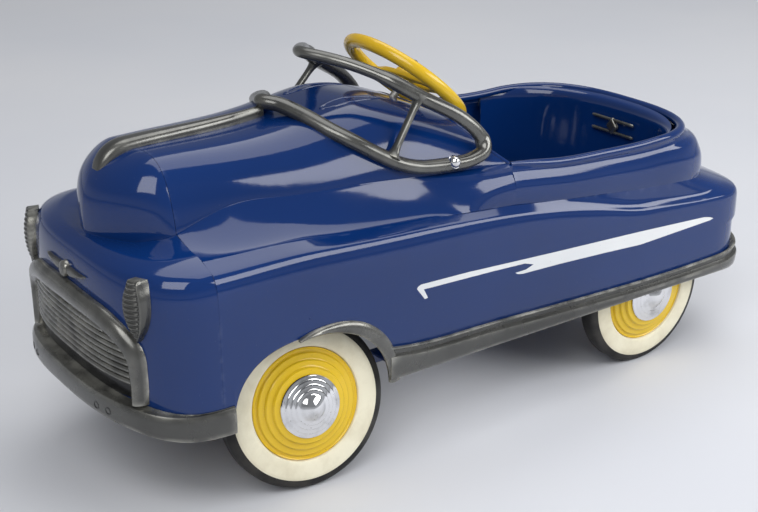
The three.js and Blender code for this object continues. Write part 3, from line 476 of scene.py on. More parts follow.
def both_halves(rows):
    rows = np.asarray(rows, float)
    return np.concatenate([rows, rows[-2::-1] * (-1, 1, 1)])


def arch_stations():
    """(y, height of the panel's edge) over the front wheel."""
    foot = math.acos(((PANEL_BOTTOM - ARCH_Z) / ARCH_RISE) ** (ARCH_POWER / 2))
    out = []
    for angle in np.linspace(-foot, foot, 57):
        across = math.copysign(abs(math.sin(angle)) ** (2 / ARCH_POWER), angle)
        out.append((ARCH_Y + ARCH_HALF * across, ARCH_Z + ARCH_RISE * math.cos(angle) ** (2 / ARCH_POWER)))
    return out


# ------------------------------------------------ fenders and tail, one pressing in the finish
def side_points(y, bottom):
    zc, bx, bz = corner_z(y), deck_x(y), deck_z(y)
    share = ledge_share(y)
    ledge = lerp(np.array([lerp(BODY_HALF, bx, 0.8), lerp(zc, bz, 0.8)]), np.array([170.0, zc + 9]), share)
    low, high = max(STEP_Z[0], bottom + 4), max(STEP_Z[1], bottom + 8)
    plan = [
        (BODY_HALF - 1.5, bottom), (BODY_HALF, bottom + 2), (BODY_HALF, low), (BODY_HALF, high),
        (BODY_HALF, zc), tuple(ledge), (bx, bz),
    ]
    return [np.array((x, y, z)) for x, z in plan]


def tail_points(s):
    rings = [
        (178.5, 372, 472, 3.5, lambda y: PANEL_BOTTOM),
        (BODY_HALF, 372, 474, 3.5, lambda y: PANEL_BOTTOM + 2),
        (BODY_HALF, 372, 474, 3.5, lambda y: STEP_Z[0]),
        (BODY_HALF, 372, 482, 3.5, lambda y: STEP_Z[1]),
        (BODY_HALF, 372, 482, 3.5, corner_z),
        (170, 352, 466, 3.4, lambda y: corner_z(y) + 9),
        (168, 290, 425, 3.2, deck_z),
    ]
    out = []
    for width, start, back, power, height in rings:
        x, y = ring_point(width, start, back, power, s)
        out.append(np.array((x, y, height(y))))
    return out


def fender_row(points, y):
    radii = [1.5, 2.5, 2.5, (float(side_fillet(y)), float(top_fillet(y))), 7]
    return filleted(points, radii, (3, 4, 4, 14, 8))


arch = arch_stations()
front = [(y, PANEL_BOTTOM) for y in np.linspace(SEAM_Y, arch[0][0] - 0.5, 4)]
behind = [(y, PANEL_BOTTOM) for y in spaced((arch[-1][0] + 0.5, 0, 12), (0, TAIL_Y - 4, 22))]
rows = [fender_row(side_points(y, b), y) for y, b in front + arch + behind]
for s in spaced((0, 1, 10), (1, 2, 44)):
    points = tail_points(s)
    rows.append(fender_row(points, points[4][1]))
shell(
    "fenders_and_tail", both_halves(rows), INSIDE, BLUE, slot="body_enamel",
    replaces=("side_panel_left", "side_panel_right", "tail_shell"),
)

# ---------------------------------------------------------------- cockpit tub with its rolled rim
rim_radius = rail((COWL_Y, 2.6), (COWL_Y + 45, 5.6), (140, 6))
# The wall as (outward offset, share of the height, start, back, power) from the deck up.
WALL = smooth_line([
    (11, 0, 290, 425, 3.2), (12.2, 0.15, 289, 425.5, 3.2), (12.5, 0.35, 288, 424, 3.2),
    (11, 0.52, 286, 421, 3.1), (8, 0.66, 284, 418, 3.0), (4.6, 0.77, 277, 409, 2.8),
    (4.2, 0.82, 274, 405, 2.75),
], 5)


def tub_row(place):
    """One row of the tub: place(offset, start, back, power) gives its plan point."""
    out = []
    for off, share, start, back, power in WALL:
        x, y = place(off, start, back, power)
        out.append((x, y, lerp(deck_z(y), rim_z(y), share)))
    for a in np.radians(np.linspace(-35, 215, 16)):
        radius = float(rim_radius(out[0][1]))
        off = radius * math.cos(a)
        x, y = place(off, 270, 396 + off, 2.7)
        out.append((x, y, rim_z(y) - radius + radius * math.sin(a)))
    return out


rows = []
for y in spaced((COWL_Y, TAIL_Y - 4, 26)):
    rows.append(tub_row(lambda off, start, back, power: (rim_x(y) + off, y)))
for s in spaced((0, 1, 8), (1, 2, 40)):
    rows.append(tub_row(lambda off, start, back, power: ring_point(157 + off, start, back, power, s)))
shell(
    "cockpit_tub", both_halves(rows), (0, 200, 260), BLUE, slot="body_enamel",
    replaces=("cockpit_side_left", "cockpit_side_right", "cockpit_back"),
)

rows = []
for s in spaced((0, 1, 6), (1, 2, 30)):
    row = []
    for back, z in ((368, 203), (369, 225), (371, 250), (374, 290), (375.5, 304), (379, 311), (388, 313)):
        grow = max(0.0, z - 300) * 0.4
        x, y = ring_point(157 + grow, 252, back, 2.3, s)
        row.append((x, y, z))
    rows.append(smooth_line(row, 4))
shell("backrest", both_halves(rows), (0, 470, 260), BLUE, slot="body_enamel", replaces=("seat_back",))


# ---------------------------------------------------------------- hood and cowl
def cowl_edge(share):
    return 2 + (COWL_Y - 2) * share**6


def hood_row(t, lift=0.0):
    out = []
    y_side = lerp(SEAM_Y + 0.5, COWL_Y, t)
    bx, bz, ax, az = deck_x(y_side), deck_z(y_side), hood_x(y_side), hood_z(y_side)
    near = min(1.0, max(0.0, (y_side + 90) / (COWL_Y + 90)))
    near = near * near * (3 - 2 * near)
    for s in np.linspace(0, 0.955, 14):
        wall_x = rim_x(y_side) + np.interp(s, WALL[:, 1], WALL[:, 0])
        x, z = lerp(bx, ax, s), lerp(bz, az, s**1.6)
        out.append((lerp(x, wall_x, near), y_side, lerp(z, lerp(bz, az, s), near) + lift))
    power = lerp(5.0, 4.0, min(1.0, 2.2 * t))
    foot = []
    for phi in (math.pi / 2) * (1 - np.linspace(0.0, 1, 30) ** 1.35):
        share = math.sin(phi) ** (2 / power)
        y = lerp(SEAM_Y + 0.5, cowl_edge(share), t)
        drop = max(0.0, math.cos(phi)) ** 1.59
        foot.append((share * hood_x(y), y, lerp(hood_z(y), ridge_z(y), drop) + lift))
    out.append(tuple(np.array(out[-1]) * 0.3 + np.array(foot[0]) * 0.7 + (0, 0, 0.25)))
    return np.array(out + foot)


def full_width(row):
    return np.concatenate([row, row[-2::-1] * (-1, 1, 1)])


rows = [full_width(hood_row(t)) for t in spaced((0, 0.16, 12), (0.16, 1, 60))]
shell("hood_and_cowl", rows, (0, -160, 250), BLUE, slot="body_enamel", replaces=("hood_cowl_shell",))
edge = full_width(hood_row(1.0))[14:-14]
loft("cowl_lip", sweep(edge + (0, 0.5, -1.6), oval(2.6, 2.6, 12), (0, 0, 1)), BLUE, slot="body_enamel")


# ---------------------------------------------------------------- nose
def plan_point(width, depth, power, angle, centre):
    c, s = max(0.0, math.cos(angle)), math.sin(angle)
    return width * c ** (2 / power), centre - depth * s ** (2 / power)


def dome_front(z):
    rise = min(1.0, max(0.0, (z - 303) / 88))
    return 65 * (1 - rise**3) ** 0.6


def nose_meridian(share):
    """From the lower edge up to the crown; share 0 is at the seam, 1 at the middle of the front."""
    points = []
    for width, depth, z in ((178.5, 99, 118), (180, 102, 122), (180, 102, 200), (180, 102, 289)):
        first = math.asin((13.0 / depth) ** (2.75 / 2))
        x, y = plan_point(width, depth, 2.75, lerp(first, math.pi / 2, share), NOSE_CENTRE_Y)
        points.append((x, y, z - (0 if z < 280 else 2.5 * share)))
    angle = share * math.pi / 2
    points.append((*plan_point(150, 76, 2.2, angle, SEAM_Y), 301))
    body = filleted(points + [(*plan_point(93, 65, 1.45, angle, SEAM_Y), lerp(314, 304, share))],
                    [1.5, 20, (30, 20), 14], (3, 3, 14, 8))[:-1]
    foot_z = lerp(314, 304, min(1.0, share * 2.2))
    dome = []
    for phi in (math.pi / 2) * (1 - np.linspace(0.0, 1, 30) ** 1.35):
        width = math.sin(phi) ** (2 / 5.0)
        z = lerp(314, 391, max(0.0, math.cos(phi)) ** 1.59)
        rise = (z - 314) / 77
        depth = dome_front(303 + rise * 88)
        power = lerp(1.45, 1.8, min(1.0, rise * 1.6))
        if z < 340:
            z = lerp(foot_z, 340, (z - 314) / 26)
        dome.append((*plan_point(93 * width, depth, power, angle, SEAM_Y), z))
    start, end = body[-1], np.array(dome[0])
    shelf = []
    for s in np.linspace(0, 0.955, 12)[1:]:
        p = lerp(start, end, s)
        p[2] = lerp(start[2], end[2], s**1.6)
        shelf.append(p)
    shelf.append(shelf[-1] * 0.3 + end * 0.7 + (0, 0, 0.25))
    return np.vstack([body, shelf, dome])


shares = 1 - np.abs(np.linspace(-1, 1, 121))
rows = []
for i, share in enumerate(shares):
    row = nose_meridian(float(share))
    rows.append(row if i <= 60 else row * (-1, 1, 1))
shell("nose", rows, (0, -380, 200), BLUE, slot="body_enamel", replaces=("nose_shell",))


# ---------------------------------------------------------------- sill trim and bumpers
sill_top = rail((-161, 152), (-134, 148), (6, 142), (105, 138), (266, 133), (372, 133))


def trim_section(height, groove):
    """(out, up) from behind the top bead, over a groove and a ridge, down the face to the lower edge."""
    ridge = height - groove
    points = [
        (0.3, height), (2.6, height + 1.2), (4.6, height + 0.4), (4.9, height - 1.6), (2.6, height - 3.4),
        (2.0, ridge + 3.6), (4.2, ridge + 1.8), (6.1, ridge + 0.6), (6.6, ridge - 1.4), (6.3, ridge * 0.55),
        (6.0, 5), (5.2, 0.8), (3.6, -1.4), (1.4, -1.2), (0.3, 0.4), (0.3, height * 0.5),
    ]
    return np.array(points)


loops = []
for y in spaced((-161, 330, 60)):
    section = trim_section(float(sill_top(y)) - SILL_BOTTOM, 12.0)
    loops.append([(BODY_HALF + out, y, SILL_BOTTOM + up) for out, up in section])
for share in spaced((0.02, 1, 60)):
    bulk = math.sin(share * math.pi / 2)
    bottom = lerp(SILL_BOTTOM, 103, bulk)
    height = lerp(21, 41, bulk)
    loop = []
    for out, up in trim_section(height, lerp(12, 16, bulk)):
        x = (BODY_HALF + out) * math.cos(share * math.pi / 2) ** (2 / 3.5)
        depth = (107 + out) * bulk ** (2 / 3.5)
        swell = 1.5 * bulk * math.sin(math.pi * min(1, max(0, up / height)))
        loop.append((x, min(372, lerp(330, 372, share / 0.08)) + depth + swell, bottom + up))
    loops.append(loop)
loft(
    "sill_and_rear_bumper", both_halves(loops), GREY, slot="trim_paint",
    replaces=("sill_trim_left", "sill_trim_right", "rear_bumper"),
)

# The bright edge over the rear half of each wheel arch, running into the sill.
loops = []
for t in np.linspace(0, 1, 50):
    angle = lerp(1.76, 0.05, t)
    c, s = math.cos(angle), math.sin(angle)
    inner = np.array([ARCH_Y + 102.3 * c, 100 + 95 * s**0.84])
    width = 17 * math.sin(min(1.0, 0.12 + t * 1.6) * 1.57)
    outer = inner + (width * max(0.0, c) ** 0.7, width * 0.9 * s)
    loop = []
    for share, out in ((0, 0.3), (0, 3), (0.06, 4.4), (0.2, 5.4), (0.45, 5.8), (0.7, 4.8),
                       (0.9, 2.8), (1, 0.3), (0.5, 0.3)):
        y, z = lerp(inner, outer, share)
        loop.append((BODY_HALF + out, y, z))
    loops.append(loop)
loops = np.array(loops)
for side in (1, -1):
    loft(f"arch_trim_{side}", loops * (side, 1, 1), GREY, slot="trim_paint")

BUMPER_HALF, BUMPER_REACH = 184.0, 120.2
bumper_bottom = rail((0, 109), (0.35, 112), (0.6, 117), (0.8, 123), (1, 128))


def bumper_point(out, z, share, half=BUMPER_HALF, reach=BUMPER_REACH):
    angle = share * math.pi / 2
    x, y = plan_point(half + out, reach + out, 2.75, angle, NOSE_CENTRE_Y)
    return x, y, z


loops = []
for share in spaced((0, 1, 70)):
    bottom = float(bumper_bottom(math.sin(share * math.pi / 2)))
    height = lerp(31, 24, math.sin(share * math.pi / 2))
    loop = []
    for out, up in ((-3.6, 0.2), (-1.6, -0.8), (-0.3, 1.0), (0, 0.2 * height), (0.3, 0.45 * height),
                    (0, 0.72 * height),
                    (-0.8, 0.88 * height), (-2.4, 0.99 * height), (-4.5, height + 0.3)):
        loop.append(bumper_point(out, bottom + up, share))
    for out, up in ((0.8, height + 1.4), (0.8, height - 1)):
        loop.append(bumper_point(out, bottom + up, share, BODY_HALF, 102))
    for out, up in ((-5, height - 2), (-3.6, 0.6 * height)):
        loop.append(bumper_point(out, bottom + up, share))
    loops.append(loop)
loft("front_bumper_strip", both_halves(loops), GREY, slot="trim_paint", replaces=("front_bumper",))


# ---------------------------------------------------------------- pieces seated on the nose
def nose_y(x, z):
    """Outer surface of the nose below its deck, as y at a place (x, z)."""
    height = (118, 122, 200, 263)
    half = float(np.interp(z, height, (178.5, 180, 180, 180)))
    depth = float(np.interp(z, height, (99, 102, 102, 102)))
    sink = 0.0 if z < 259 else 20 * ((z - 259) / 30) ** 2 * 0.25
    return NOSE_CENTRE_Y - (depth - sink) * (1 - min(1.0, abs(x) / half) ** 2.75) ** (1 / 2.75)


def disc_on(name, place, facing, profile, material, segments=24, **kw):
    """A turned piece with its axis from place along facing."""
    verts, faces = lathe(profile, segments)
    spin = Vector((1, 0, 0)).rotation_difference(Vector(facing)).to_matrix().to_4x4()
    return make(name, turn(verts, Matrix.Translation(Vector(place)) @ spin), faces, material, **kw)


# Dark discs in the bumper's holes, painted shade for the insides of the holes.
HOLE = ((-0.2, 4.6), (0.5, 4.4), (0.5, 3.4), (-0.1, 3.2), (-0.1, 0))
for k, x in enumerate((-101, -81, 81, 101)):
    share = math.acos((abs(x) / BUMPER_HALF) ** (2.75 / 2)) / (math.pi / 2)
    px, py, _ = bumper_point(0.1, 0, share)
    px = math.copysign(px, x)
    ahead = bumper_point(0.1, 0, share + 0.01)
    slope = Vector((ahead[0] - abs(px), ahead[1] - py, 0)).normalized()
    facing = (math.copysign(-slope.y, x), slope.x, 0)
    disc_on(f"bumper_hole_shade_{k}", (px, py, 135.5), facing, HOLE, RECESS_SHADE, slot="trim_paint")

GRILLE = [(139, 150, 124, 150), (140, 180, 124, 177), (137, 212, 120, 200), (119, 233, 105, 213),
          (90, 247, 82, 222), (60, 251.5, 56, 225.5), (30, 253.5, 28, 226.5), (0, 254.5, 0, 227)]
half = smooth_line(GRILLE, 9)
outline = np.concatenate([half, half[-2::-1] * (-1, 1, -1, 1)])
loops = []
for ox, oz, ix, iz in outline:
    loop = []
    for share, out in ((0, 0.4), (0.0, 4), (0.04, 7.4), (0.14, 10.4), (0.32, 12.6), (0.5, 12.8),
                       (0.68, 11.2),
                       (0.84, 8.2), (0.96, 5), (1, 0.4), (0.5, 0.3)):
        x, z = lerp(ox, ix, share), lerp(oz, iz, share)
        loop.append((x, nose_y(x, z) - out, z))
    loops.append(loop)
loft("grille_surround", loops, GREY, slot="trim_paint", replaces=("grille_frame",))


def mouth_half(z):
    """Half width of the grille's opening at a height."""
    inner = half[:, 2:]
    return float(np.interp(z, inner[:, 1], inner[:, 0])) if z < 227 else 0.0


RIB_PITCH, RIB_COUNT = 7.1, 8
# A dark sheet behind the grille's ribs, painted shade for the opening behind them.
recess = []
for z in np.linspace(152, 227, 40):
    reach = mouth_half(z)
    recess.append([(x, nose_y(x, z) - 0.9, z) for x in np.linspace(-reach, reach, 61)])
shell("grille_recess_shade", recess, (0, -380, 190), RECESS_SHADE, 0.5, slot="trim_paint", replaces=("grille_bars",))
for k in range(RIB_COUNT):
    z = 221.5 - k * RIB_PITCH
    reach = mouth_half(z) - 0.5
    path = np.array([(x, nose_y(x, z) - 2.2, z) for x in np.linspace(-reach, reach, 49)])
    section = [(-3.2, -0.2), (-2.9, 1.4), (-1.6, 2.6), (0, 3.0), (1.6, 2.6), (2.9, 1.2), (3.2, -0.6),
               (0, -1.2)]
    outwards = np.array([(0.0, -1.0, 0.0)] * len(path))
    loft(f"grille_rib_{k}", sweep(path, section, outwards), GREY, slot="trim_paint")


def outlined(name, outline, depth, crown, material, place=None, **kw):
    """A raised emblem: an outline in (x, z) standing depth proud of the nose, with a rounded face."""
    outline = np.asarray(outline, float)
    centre = outline.mean(0)
    loops = []
    for grow, out in ((1.0, -1.0), (1.0, depth * 0.6), (0.94, depth), (0.8, depth + crown),
                      (0.45, depth + crown * 1.5)):
        ring = centre + (outline - centre) * (grow, grow)
        loops.append([(x, (place(x, z) if place else 0) - out, z) for x, z in ring])
    return loft(name, loops, material, **kw)


WING = [(3, 263), (12, 262), (30, 264.5), (49, 270.5), (34, 270.5), (22, 271), (10, 271.5), (3, 272)]
BOSS = [(0, 257), (5, 258.5), (8, 263), (9, 268), (7, 273), (0, 276), (-7, 273), (-9, 268), (-8, 263),
        (-5, 258.5)]
for side in (1, -1):
    outlined(f"emblem_wing_{side}", smooth_line([(side * x, z) for x, z in WING], 4, True),
             4, 0.8, GREY, nose_y,
             slot="trim_paint", replaces=("nose_emblem",))
outlined("emblem_boss", smooth_line(BOSS, 4, True), 5.5, 1.2, GREY, nose_y, slot="trim_paint")

# The long ornament down the middle of the hood.
# The hood's blade as (y, top, half width).
ORNAMENT = [(-425.5, 367, 4), (-424, 375, 7.6), (-419, 385, 10.4), (-410, 394, 12), (-396, 400, 12.6),
            (-374, 402, 12.4), (-330, 403, 11), (-280, 404, 9), (-236, 406, 6.6), (-212, 408, 5)]


def middle_z(y):
    if y > SEAM_Y:
        return float(ridge_z(y))
    reach = min(1.0, (SEAM_Y - y) / 65)
    return min(float(ridge_z(SEAM_Y)), 303 + 88 * (1 - reach ** (1 / 0.6)) ** (1 / 3))


loops = []
for y, top, width in smooth_line(ORNAMENT, 8):
    foot = middle_z(y) - 1.5
    section = [(1.0, 0), (1.06, 0.2), (1.02, 0.5), (0.92, 0.74), (0.7, 0.92), (0.36, 0.99), (0, 1.0)]
    side = [(width * x, y, lerp(foot, top, share)) for x, share in section]
    loops.append(side + [(-x, yy, z) for x, yy, z in side[-2::-1]])
loft("hood_ornament_blade", loops, GREY, slot="trim_paint", replaces=("hood_ornament",))

# ------------------------------------------------ headlights, ribbed shells on the nose's corners
LAMP_X, LAMP_ANGLE = 134.0, 0.58
lamp_half = rail((224, 0.8), (228, 3.4), (236, 8.4), (248, 13), (262, 15), (276, 13.6), (287, 9.6),
                 (293, 8.2))
lamp_out = np.array([math.sin(LAMP_ANGLE), -math.cos(LAMP_ANGLE), 0])
lamp_across = np.array([math.cos(LAMP_ANGLE), math.sin(LAMP_ANGLE), 0])


def headlight():
    loops = []
    for z in np.linspace(224, 293, 110):
        width = float(lamp_half(z))
        lean = math.sin(min(1.0, max(0.02, (z - 222) / 78)) * math.pi) ** 0.6
        top = min(1.0, (293 - z) / 2.0)
        rib = 0.5 - 0.5 * math.cos((z - 230) / 5.6 * 2 * math.pi)
        loop = []
        for share in np.linspace(-1, 1, 33):
            dome = 4 + 9.5 * lean * math.sqrt(max(0.0, 1 - share * share))
            inside_band = 1 if -0.92 < share < 0.52 else 0
            edge_rib = math.exp(-(((share - 0.7) / 0.16) ** 2)) * 2.4
            out = dome - inside_band * rib * 1.7 * min(1, (z - 226) / 8) * top + edge_rib - 1.5 * (1 - top)
            p = np.array([LAMP_X, nose_y(LAMP_X, min(z, 258)),
                          0]) + lamp_across * share * width + lamp_out * out
            loop.append((p[0], p[1], z))
        for share in (1, 0.4, -0.4, -1):
            p = np.array([LAMP_X, nose_y(LAMP_X, min(z, 258)), 0]) + lamp_across * share * width
            loop.append((p[0], nose_y(p[0], min(z, 258)) + 6, z))
        loops.append(loop)
    return np.array(loops)


lamp = headlight()
for side, word in ((1, "left"), (-1, "right")):
    loft(f"headlight_shell_{word}", lamp * (side, 1, 1), GREY, slot="trim_paint",
         replaces=(f"headlight_{word}",), sharp=60)

# ---------------------------------------------------------------- windshield frame
WINDSHIELD = [(18, -198, 410.5), (44, -187, 404), (81, -170, 390), (102, -150, 377), (115, -124, 360),
              (123, -100, 347), (128, -76, 340), (132, -52, 338), (136, -31, 338), (139, -10, 339.5),
              (140, 8, 347),
              (135, 10, 360), (127, -12, 386), (110, -61, 417), (84, -95, 440), (56, -118, 452),
              (30, -138, 459)]
far_side = [(-x, y, z) for x, y, z in WINDSHIELD[::-1]]
loop_points = [(0, -210, 413)] + WINDSHIELD + [(0, -155, 463)] + far_side
path = smooth_line(loop_points, 14, True)
height = path[:, 2]
upper = (height > 352) & (path[:, 2] - 404 > -1.15 * (path[:, 1] + 10))
bulk = np.where(upper | (height > 440), 0.86, 1.1)
for _ in range(12):
    bulk = (np.roll(bulk, 1) + 2 * bulk + np.roll(bulk, -1)) / 4
loft("windshield_hoop", sweep(path, oval(8.6, 7.4, 20, 2.3), (0, -0.3, 1), bulk, True), GREY, True,
     slot="trim_paint", replaces=("windshield_frame",))


def post(name, start, end):
    """An upright that swells into the rail at both ends."""
    start, end = np.array(start, float), np.array(end, float)
    t = np.linspace(0, 1, 33)
    line = start + (end - start) * t[:, None]
    flare = 0.8 + 1.1 * (np.abs(2 * t - 1) ** 6)
    return loft(name, sweep(line, oval(6.8, 4.6, 16), (0, -1, 0.4), flare), GREY, slot="trim_paint")


for side in (1, -1):
    post(f"windshield_post_{side}", (side * 109, -64, 418), (side * 120, -112, 356))
NUT = ((-3, 0), (-3, 8.4), (0, 8.4), (0.6, 7.4), (2.6, 7.0), (4.6, 6.0), (6.4, 4.2), (7.6, 2.0), (7.9, 0))
for side, word in ((1, "left"), (-1, "right")):
    lean = 0.6
    facing = (side * math.cos(lean), 0, math.sin(lean))
    place = (side * (134.9 + 7 * math.cos(lean)), -36, 337.8 + 7 * math.sin(lean))
    disc_on(f"windshield_acorn_{word}", place, facing, NUT, CHROME, slot="bright_chrome",
            replaces=(f"windshield_nut_{word}",))

# ------------------------------------------------ badge on the inner rear wall, no lettering
for k, z in enumerate((272, 290)):
    path = np.array([(x, 364.5, z) for x in np.linspace(-40, 40, 25)])
    taper = np.where(np.abs(path[:, 0]) > 38, 0.7, 1.0)
    loft(f"badge_bar_{k}", sweep(path, oval(2.4, 2.2, 14), (0, -1, 0), taper), GREY,
         slot="trim_paint", replaces=("rear_badge",))
DIAMOND = [(0, 268), (11, 281), (0, 294), (-11, 281)]
outlined("badge_diamond", smooth_line([lerp(np.array(a), np.array(b),
                                            t) for a, b in zip(DIAMOND, DIAMOND[1:] + DIAMOND[:1])
                                       for t in (0.08, 0.5, 0.92)], 3, True), 3, 1.0, GREY,
         lambda x, z: 365, slot="trim_paint")

# ------------------------------------------------ wheels, turned about X with their outer side at X = 0
TYRE = [(-5, 66.4), (-3.4, 66.8), (-1.2, 67.6), (-0.3, 69.4), (0, 73), (0.3, 80), (0, 86), (-0.4, 89.6),
        (-0.9, 90.3),
        (-1.3, 92), (-2.2, 95.4), (-3.6, 98), (-5.4, 99.5), (-8, 100), (-20, 100), (-23.5, 99.3),
        (-26, 97.5),
        (-28.6, 92), (-30, 82), (-28.5, 72), (-26.5, 67.4)]
WHITE_BAND = (66.0, 90.0)
DISC = [(-24, 66.2), (-5.2, 66.2), (-3.6, 66.4), (-2.6, 66.2), (-2.2, 65.4), (-2.6, 64.6), (-3.2, 64),
        (-3.4, 62),
        (-2.8, 60.9), (-0.9, 60.4), (-0.1, 59.4), (0, 54), (0.5, 53), (2.4, 52.4), (3.3, 51.4),
        (3.5, 46.2), (4.1, 45.2),
        (6.2, 44.6), (7.2, 43.6), (7.5, 39), (8.0, 36), (8.0, 22), (5.6, 21), (5.6, 5.8), (-28, 5.8),
        (-28, 11),
        (-2, 12), (-4.5, 50), (-7.5, 62), (-24, 63.4)]
HUBCAP = [(6, 0), (6, 30), (8.3, 36.4), (9.4, 37.2), (10.4, 36.6), (10.9, 35), (11.0, 32.6), (11.4, 31.8),
          (12.2, 31.2),
          (12.6, 29.8), (12.7, 27.2), (13.1, 26.4), (13.9, 25.8), (14.3, 24.4), (14.4, 21.8),
          (14.8, 21), (15.6, 20.4),
          (16, 19), (16.1, 16.4), (16.6, 15.4), (17.8, 14), (19.6, 11.2), (21.4, 7.4), (22.4, 4.4),
          (22.9, 2), (23, 0)]


def wheel(word, body_name, front, matrix, flip):
    place = "front" if front else "rear"
    verts, faces = lathe(TYRE, 128)
    radius = np.hypot(verts[:, 1], verts[:, 2])
    slots = []
    for f in faces:
        ring = radius[list(f)].mean()
        slots.append(1 if WHITE_BAND[0] < ring < WHITE_BAND[1] and verts[list(f), 0].mean() > -5 else 0)
    parts = [("tyre", verts, faces, [TREAD, SIDEWALL], "tyre_rubber", slots)]
    verts, faces = lathe(DISC, 128)
    parts.append(("disc", verts, faces, YELLOW, "wheel_enamel", None))
    verts, faces = lathe(HUBCAP, 96)
    parts.append(("hubcap", verts, faces, CHROME, "bright_chrome", None))
    for piece, verts, faces, material, finish, slots in parts:
        if flip:
            verts, faces = mirror_x(verts, faces)
        make(f"{place}_{piece}_{word}_turned", turn(verts, matrix), faces, material, body_name,
             (f"{place}_{piece}_{word}",), finish, 30, slots)


for side, word in ((1, "left"), (-1, "right")):
    lean = Matrix.Rotation(-side * CAMBER, 4, "Y")
    centre = Matrix.Translation((side * FRONT_FACE_X, KINGPIN_Y, FRONT_FACE_Z))
    pin = Matrix.Translation((side * KINGPIN_X, KINGPIN_Y, 0))
    steered = pin @ Matrix.Rotation(STEER, 4, "Z") @ pin.inverted() @ centre @ lean
    wheel(word, f"front_wheel_{word}", True, steered, side < 0)
    centre = Matrix.Translation((side * REAR_FACE_X, REAR_AXLE_Y, REAR_HUB_Z))
    wheel(word, "crank" if side > 0 else "rear_wheel_right", False, centre, side < 0)

# ---------------------------------------------------------------- steering wheel, drawn about its shaft
shaft = Matrix((
    (1, 0, 0, WHEEL_CENTRE[0]),
    (0, math.cos(TILT), math.sin(TILT), WHEEL_CENTRE[1]),
    (0, -math.sin(TILT), math.cos(TILT), WHEEL_CENTRE[2]),
    (0, 0, 0, 1),
)) @ Matrix.Rotation(STEER, 4, "Z")


def on_shaft(name, verts, faces, material, finish, replaces=(), sharp=40):
    return make(name, turn(verts, shaft), outward(verts, faces),
                material, "steering", replaces, finish, sharp)


ring = np.array([(80 * math.cos(a), 80 * math.sin(a),
                  0) for a in np.linspace(0, 2 * math.pi, 96, endpoint=False)])
loops = sweep(ring, oval(9, 8, 20, 2.3), (0, 0, 1), closed=True)
on_shaft("steering_ring", loops.reshape(-1, 3), grid_faces(*loops.shape[:2], True, True),
         YELLOW, "wheel_enamel",
         ("steering_wheel",))


def pierced_plate(name, outline, holes, low, high, bevel, material, matrix, body_name, finish):
    """A flat plate with rounded edges between two heights, from (x, y) outlines."""
    curve = bpy.data.curves.new(name, "CURVE")
    curve.dimensions, curve.fill_mode = "2D", "BOTH"
    curve.extrude = (high - low) / 2 * MM - bevel * MM
    curve.bevel_depth, curve.bevel_resolution = bevel * MM, 2
    curve.offset = -bevel * MM
    for points in [outline, *holes]:
        spline = curve.splines.new("POLY")
        spline.points.add(len(points) - 1)
        for target, (x, y) in zip(spline.points, points):
            target.co = (x * MM, y * MM, 0, 1)
        spline.use_cyclic_u = True
    holder = bpy.data.objects.new(name + "_curve", curve)
    mesh = bpy.data.meshes.new_from_object(holder)
    bpy.data.objects.remove(holder)
    verts = np.array([v.co for v in mesh.vertices]) / MM + (0, 0, (low + high) / 2)
    faces = [tuple(p.vertices) for p in mesh.polygons]
    bpy.data.meshes.remove(mesh)
    return make(name, turn(verts, matrix), faces, material, body_name, (), finish, 40)


quarter = smooth_line([(79, 8.5), (60, 10.5), (44, 13.5), (30, 17.5), (18, 19.5), (0, 20)], 6)
web = np.concatenate([quarter, quarter[-2::-1] * (-1, 1)])
web = np.concatenate([web, web[::-1] * (1, -1)])
SLOT = smooth_line([(28, -3.5), (58, -3), (60, 0), (58, 3), (28, 3.5), (26, 0)], 3, True)
slots = [[(s * x, y) for x, y in SLOT] for s in (1, -1)]
pierced_plate("steering_spokes", web, slots, -5, 2, 1.5, YELLOW, shaft, "steering", "wheel_enamel")
to_z = Matrix.Rotation(-math.pi / 2, 4, "Y")
HUB = [(-9, 5.3), (-9, 14), (-8, 15.6), (3, 16), (6.5, 15.4), (8.4, 13.6), (9, 11), (9, 5.3)]
verts, faces = lathe(HUB, 48)
on_shaft("steering_hub", turn(verts, to_z), faces, YELLOW, "wheel_enamel")
CAP = [(9.3, 0), (9.3, 9.5), (10, 10), (11, 9.6), (11.3, 8.2), (16, 8.0), (17, 7.4), (20, 7.0),
       (23.4, 5.4), (26, 3), (27.3, 0)]
verts, faces = lathe(CAP, 6 * 6)
on_shaft("steering_cap_nut", turn(verts, to_z), faces, CHROME, "bright_chrome", ("steering_nut",))

# ---------------------------------------------------------------- stripe, rivets, creases
PAINT_X = BODY_HALF + 0.12  # just proud of the fender's upright side


def painted(name, outline, body_name="body"):
    """A flat painted mark on both sides of the body, from a (y, z) outline."""
    for side in (1, -1):
        verts = [(side * PAINT_X, y, z) for y, z in outline]
        faces = [tuple(range(len(verts)))]
        if side < 0:
            faces = [tuple(reversed(faces[0]))]
        make(f"{name}_{side}", verts, faces, WHITE, body_name, (), "body_enamel")


STRIPE = [(-118.7, 217), (-114.4, 219), (-44, 217.2), (42.7, 212.6), (102.5, 209.6), (240, 203.4),
          (365, 196.4),
          (378, 193.6), (384, 190.8), (379, 189.4), (365.9, 188.8), (244.7, 184.6), (180, 188.4),
          (103.5, 192),
          (41.9, 193.8), (33.9, 195.4), (29.8, 198), (47.2, 198.2), (59.2, 202.1), (45.2, 206.6),
          (-4.3, 208.8),
          (-101.4, 211.6), (-110, 212), (-103.9, 199.8), (-108.4, 199.2), (-119.9, 214.6)]
painted("stripe", STRIPE)

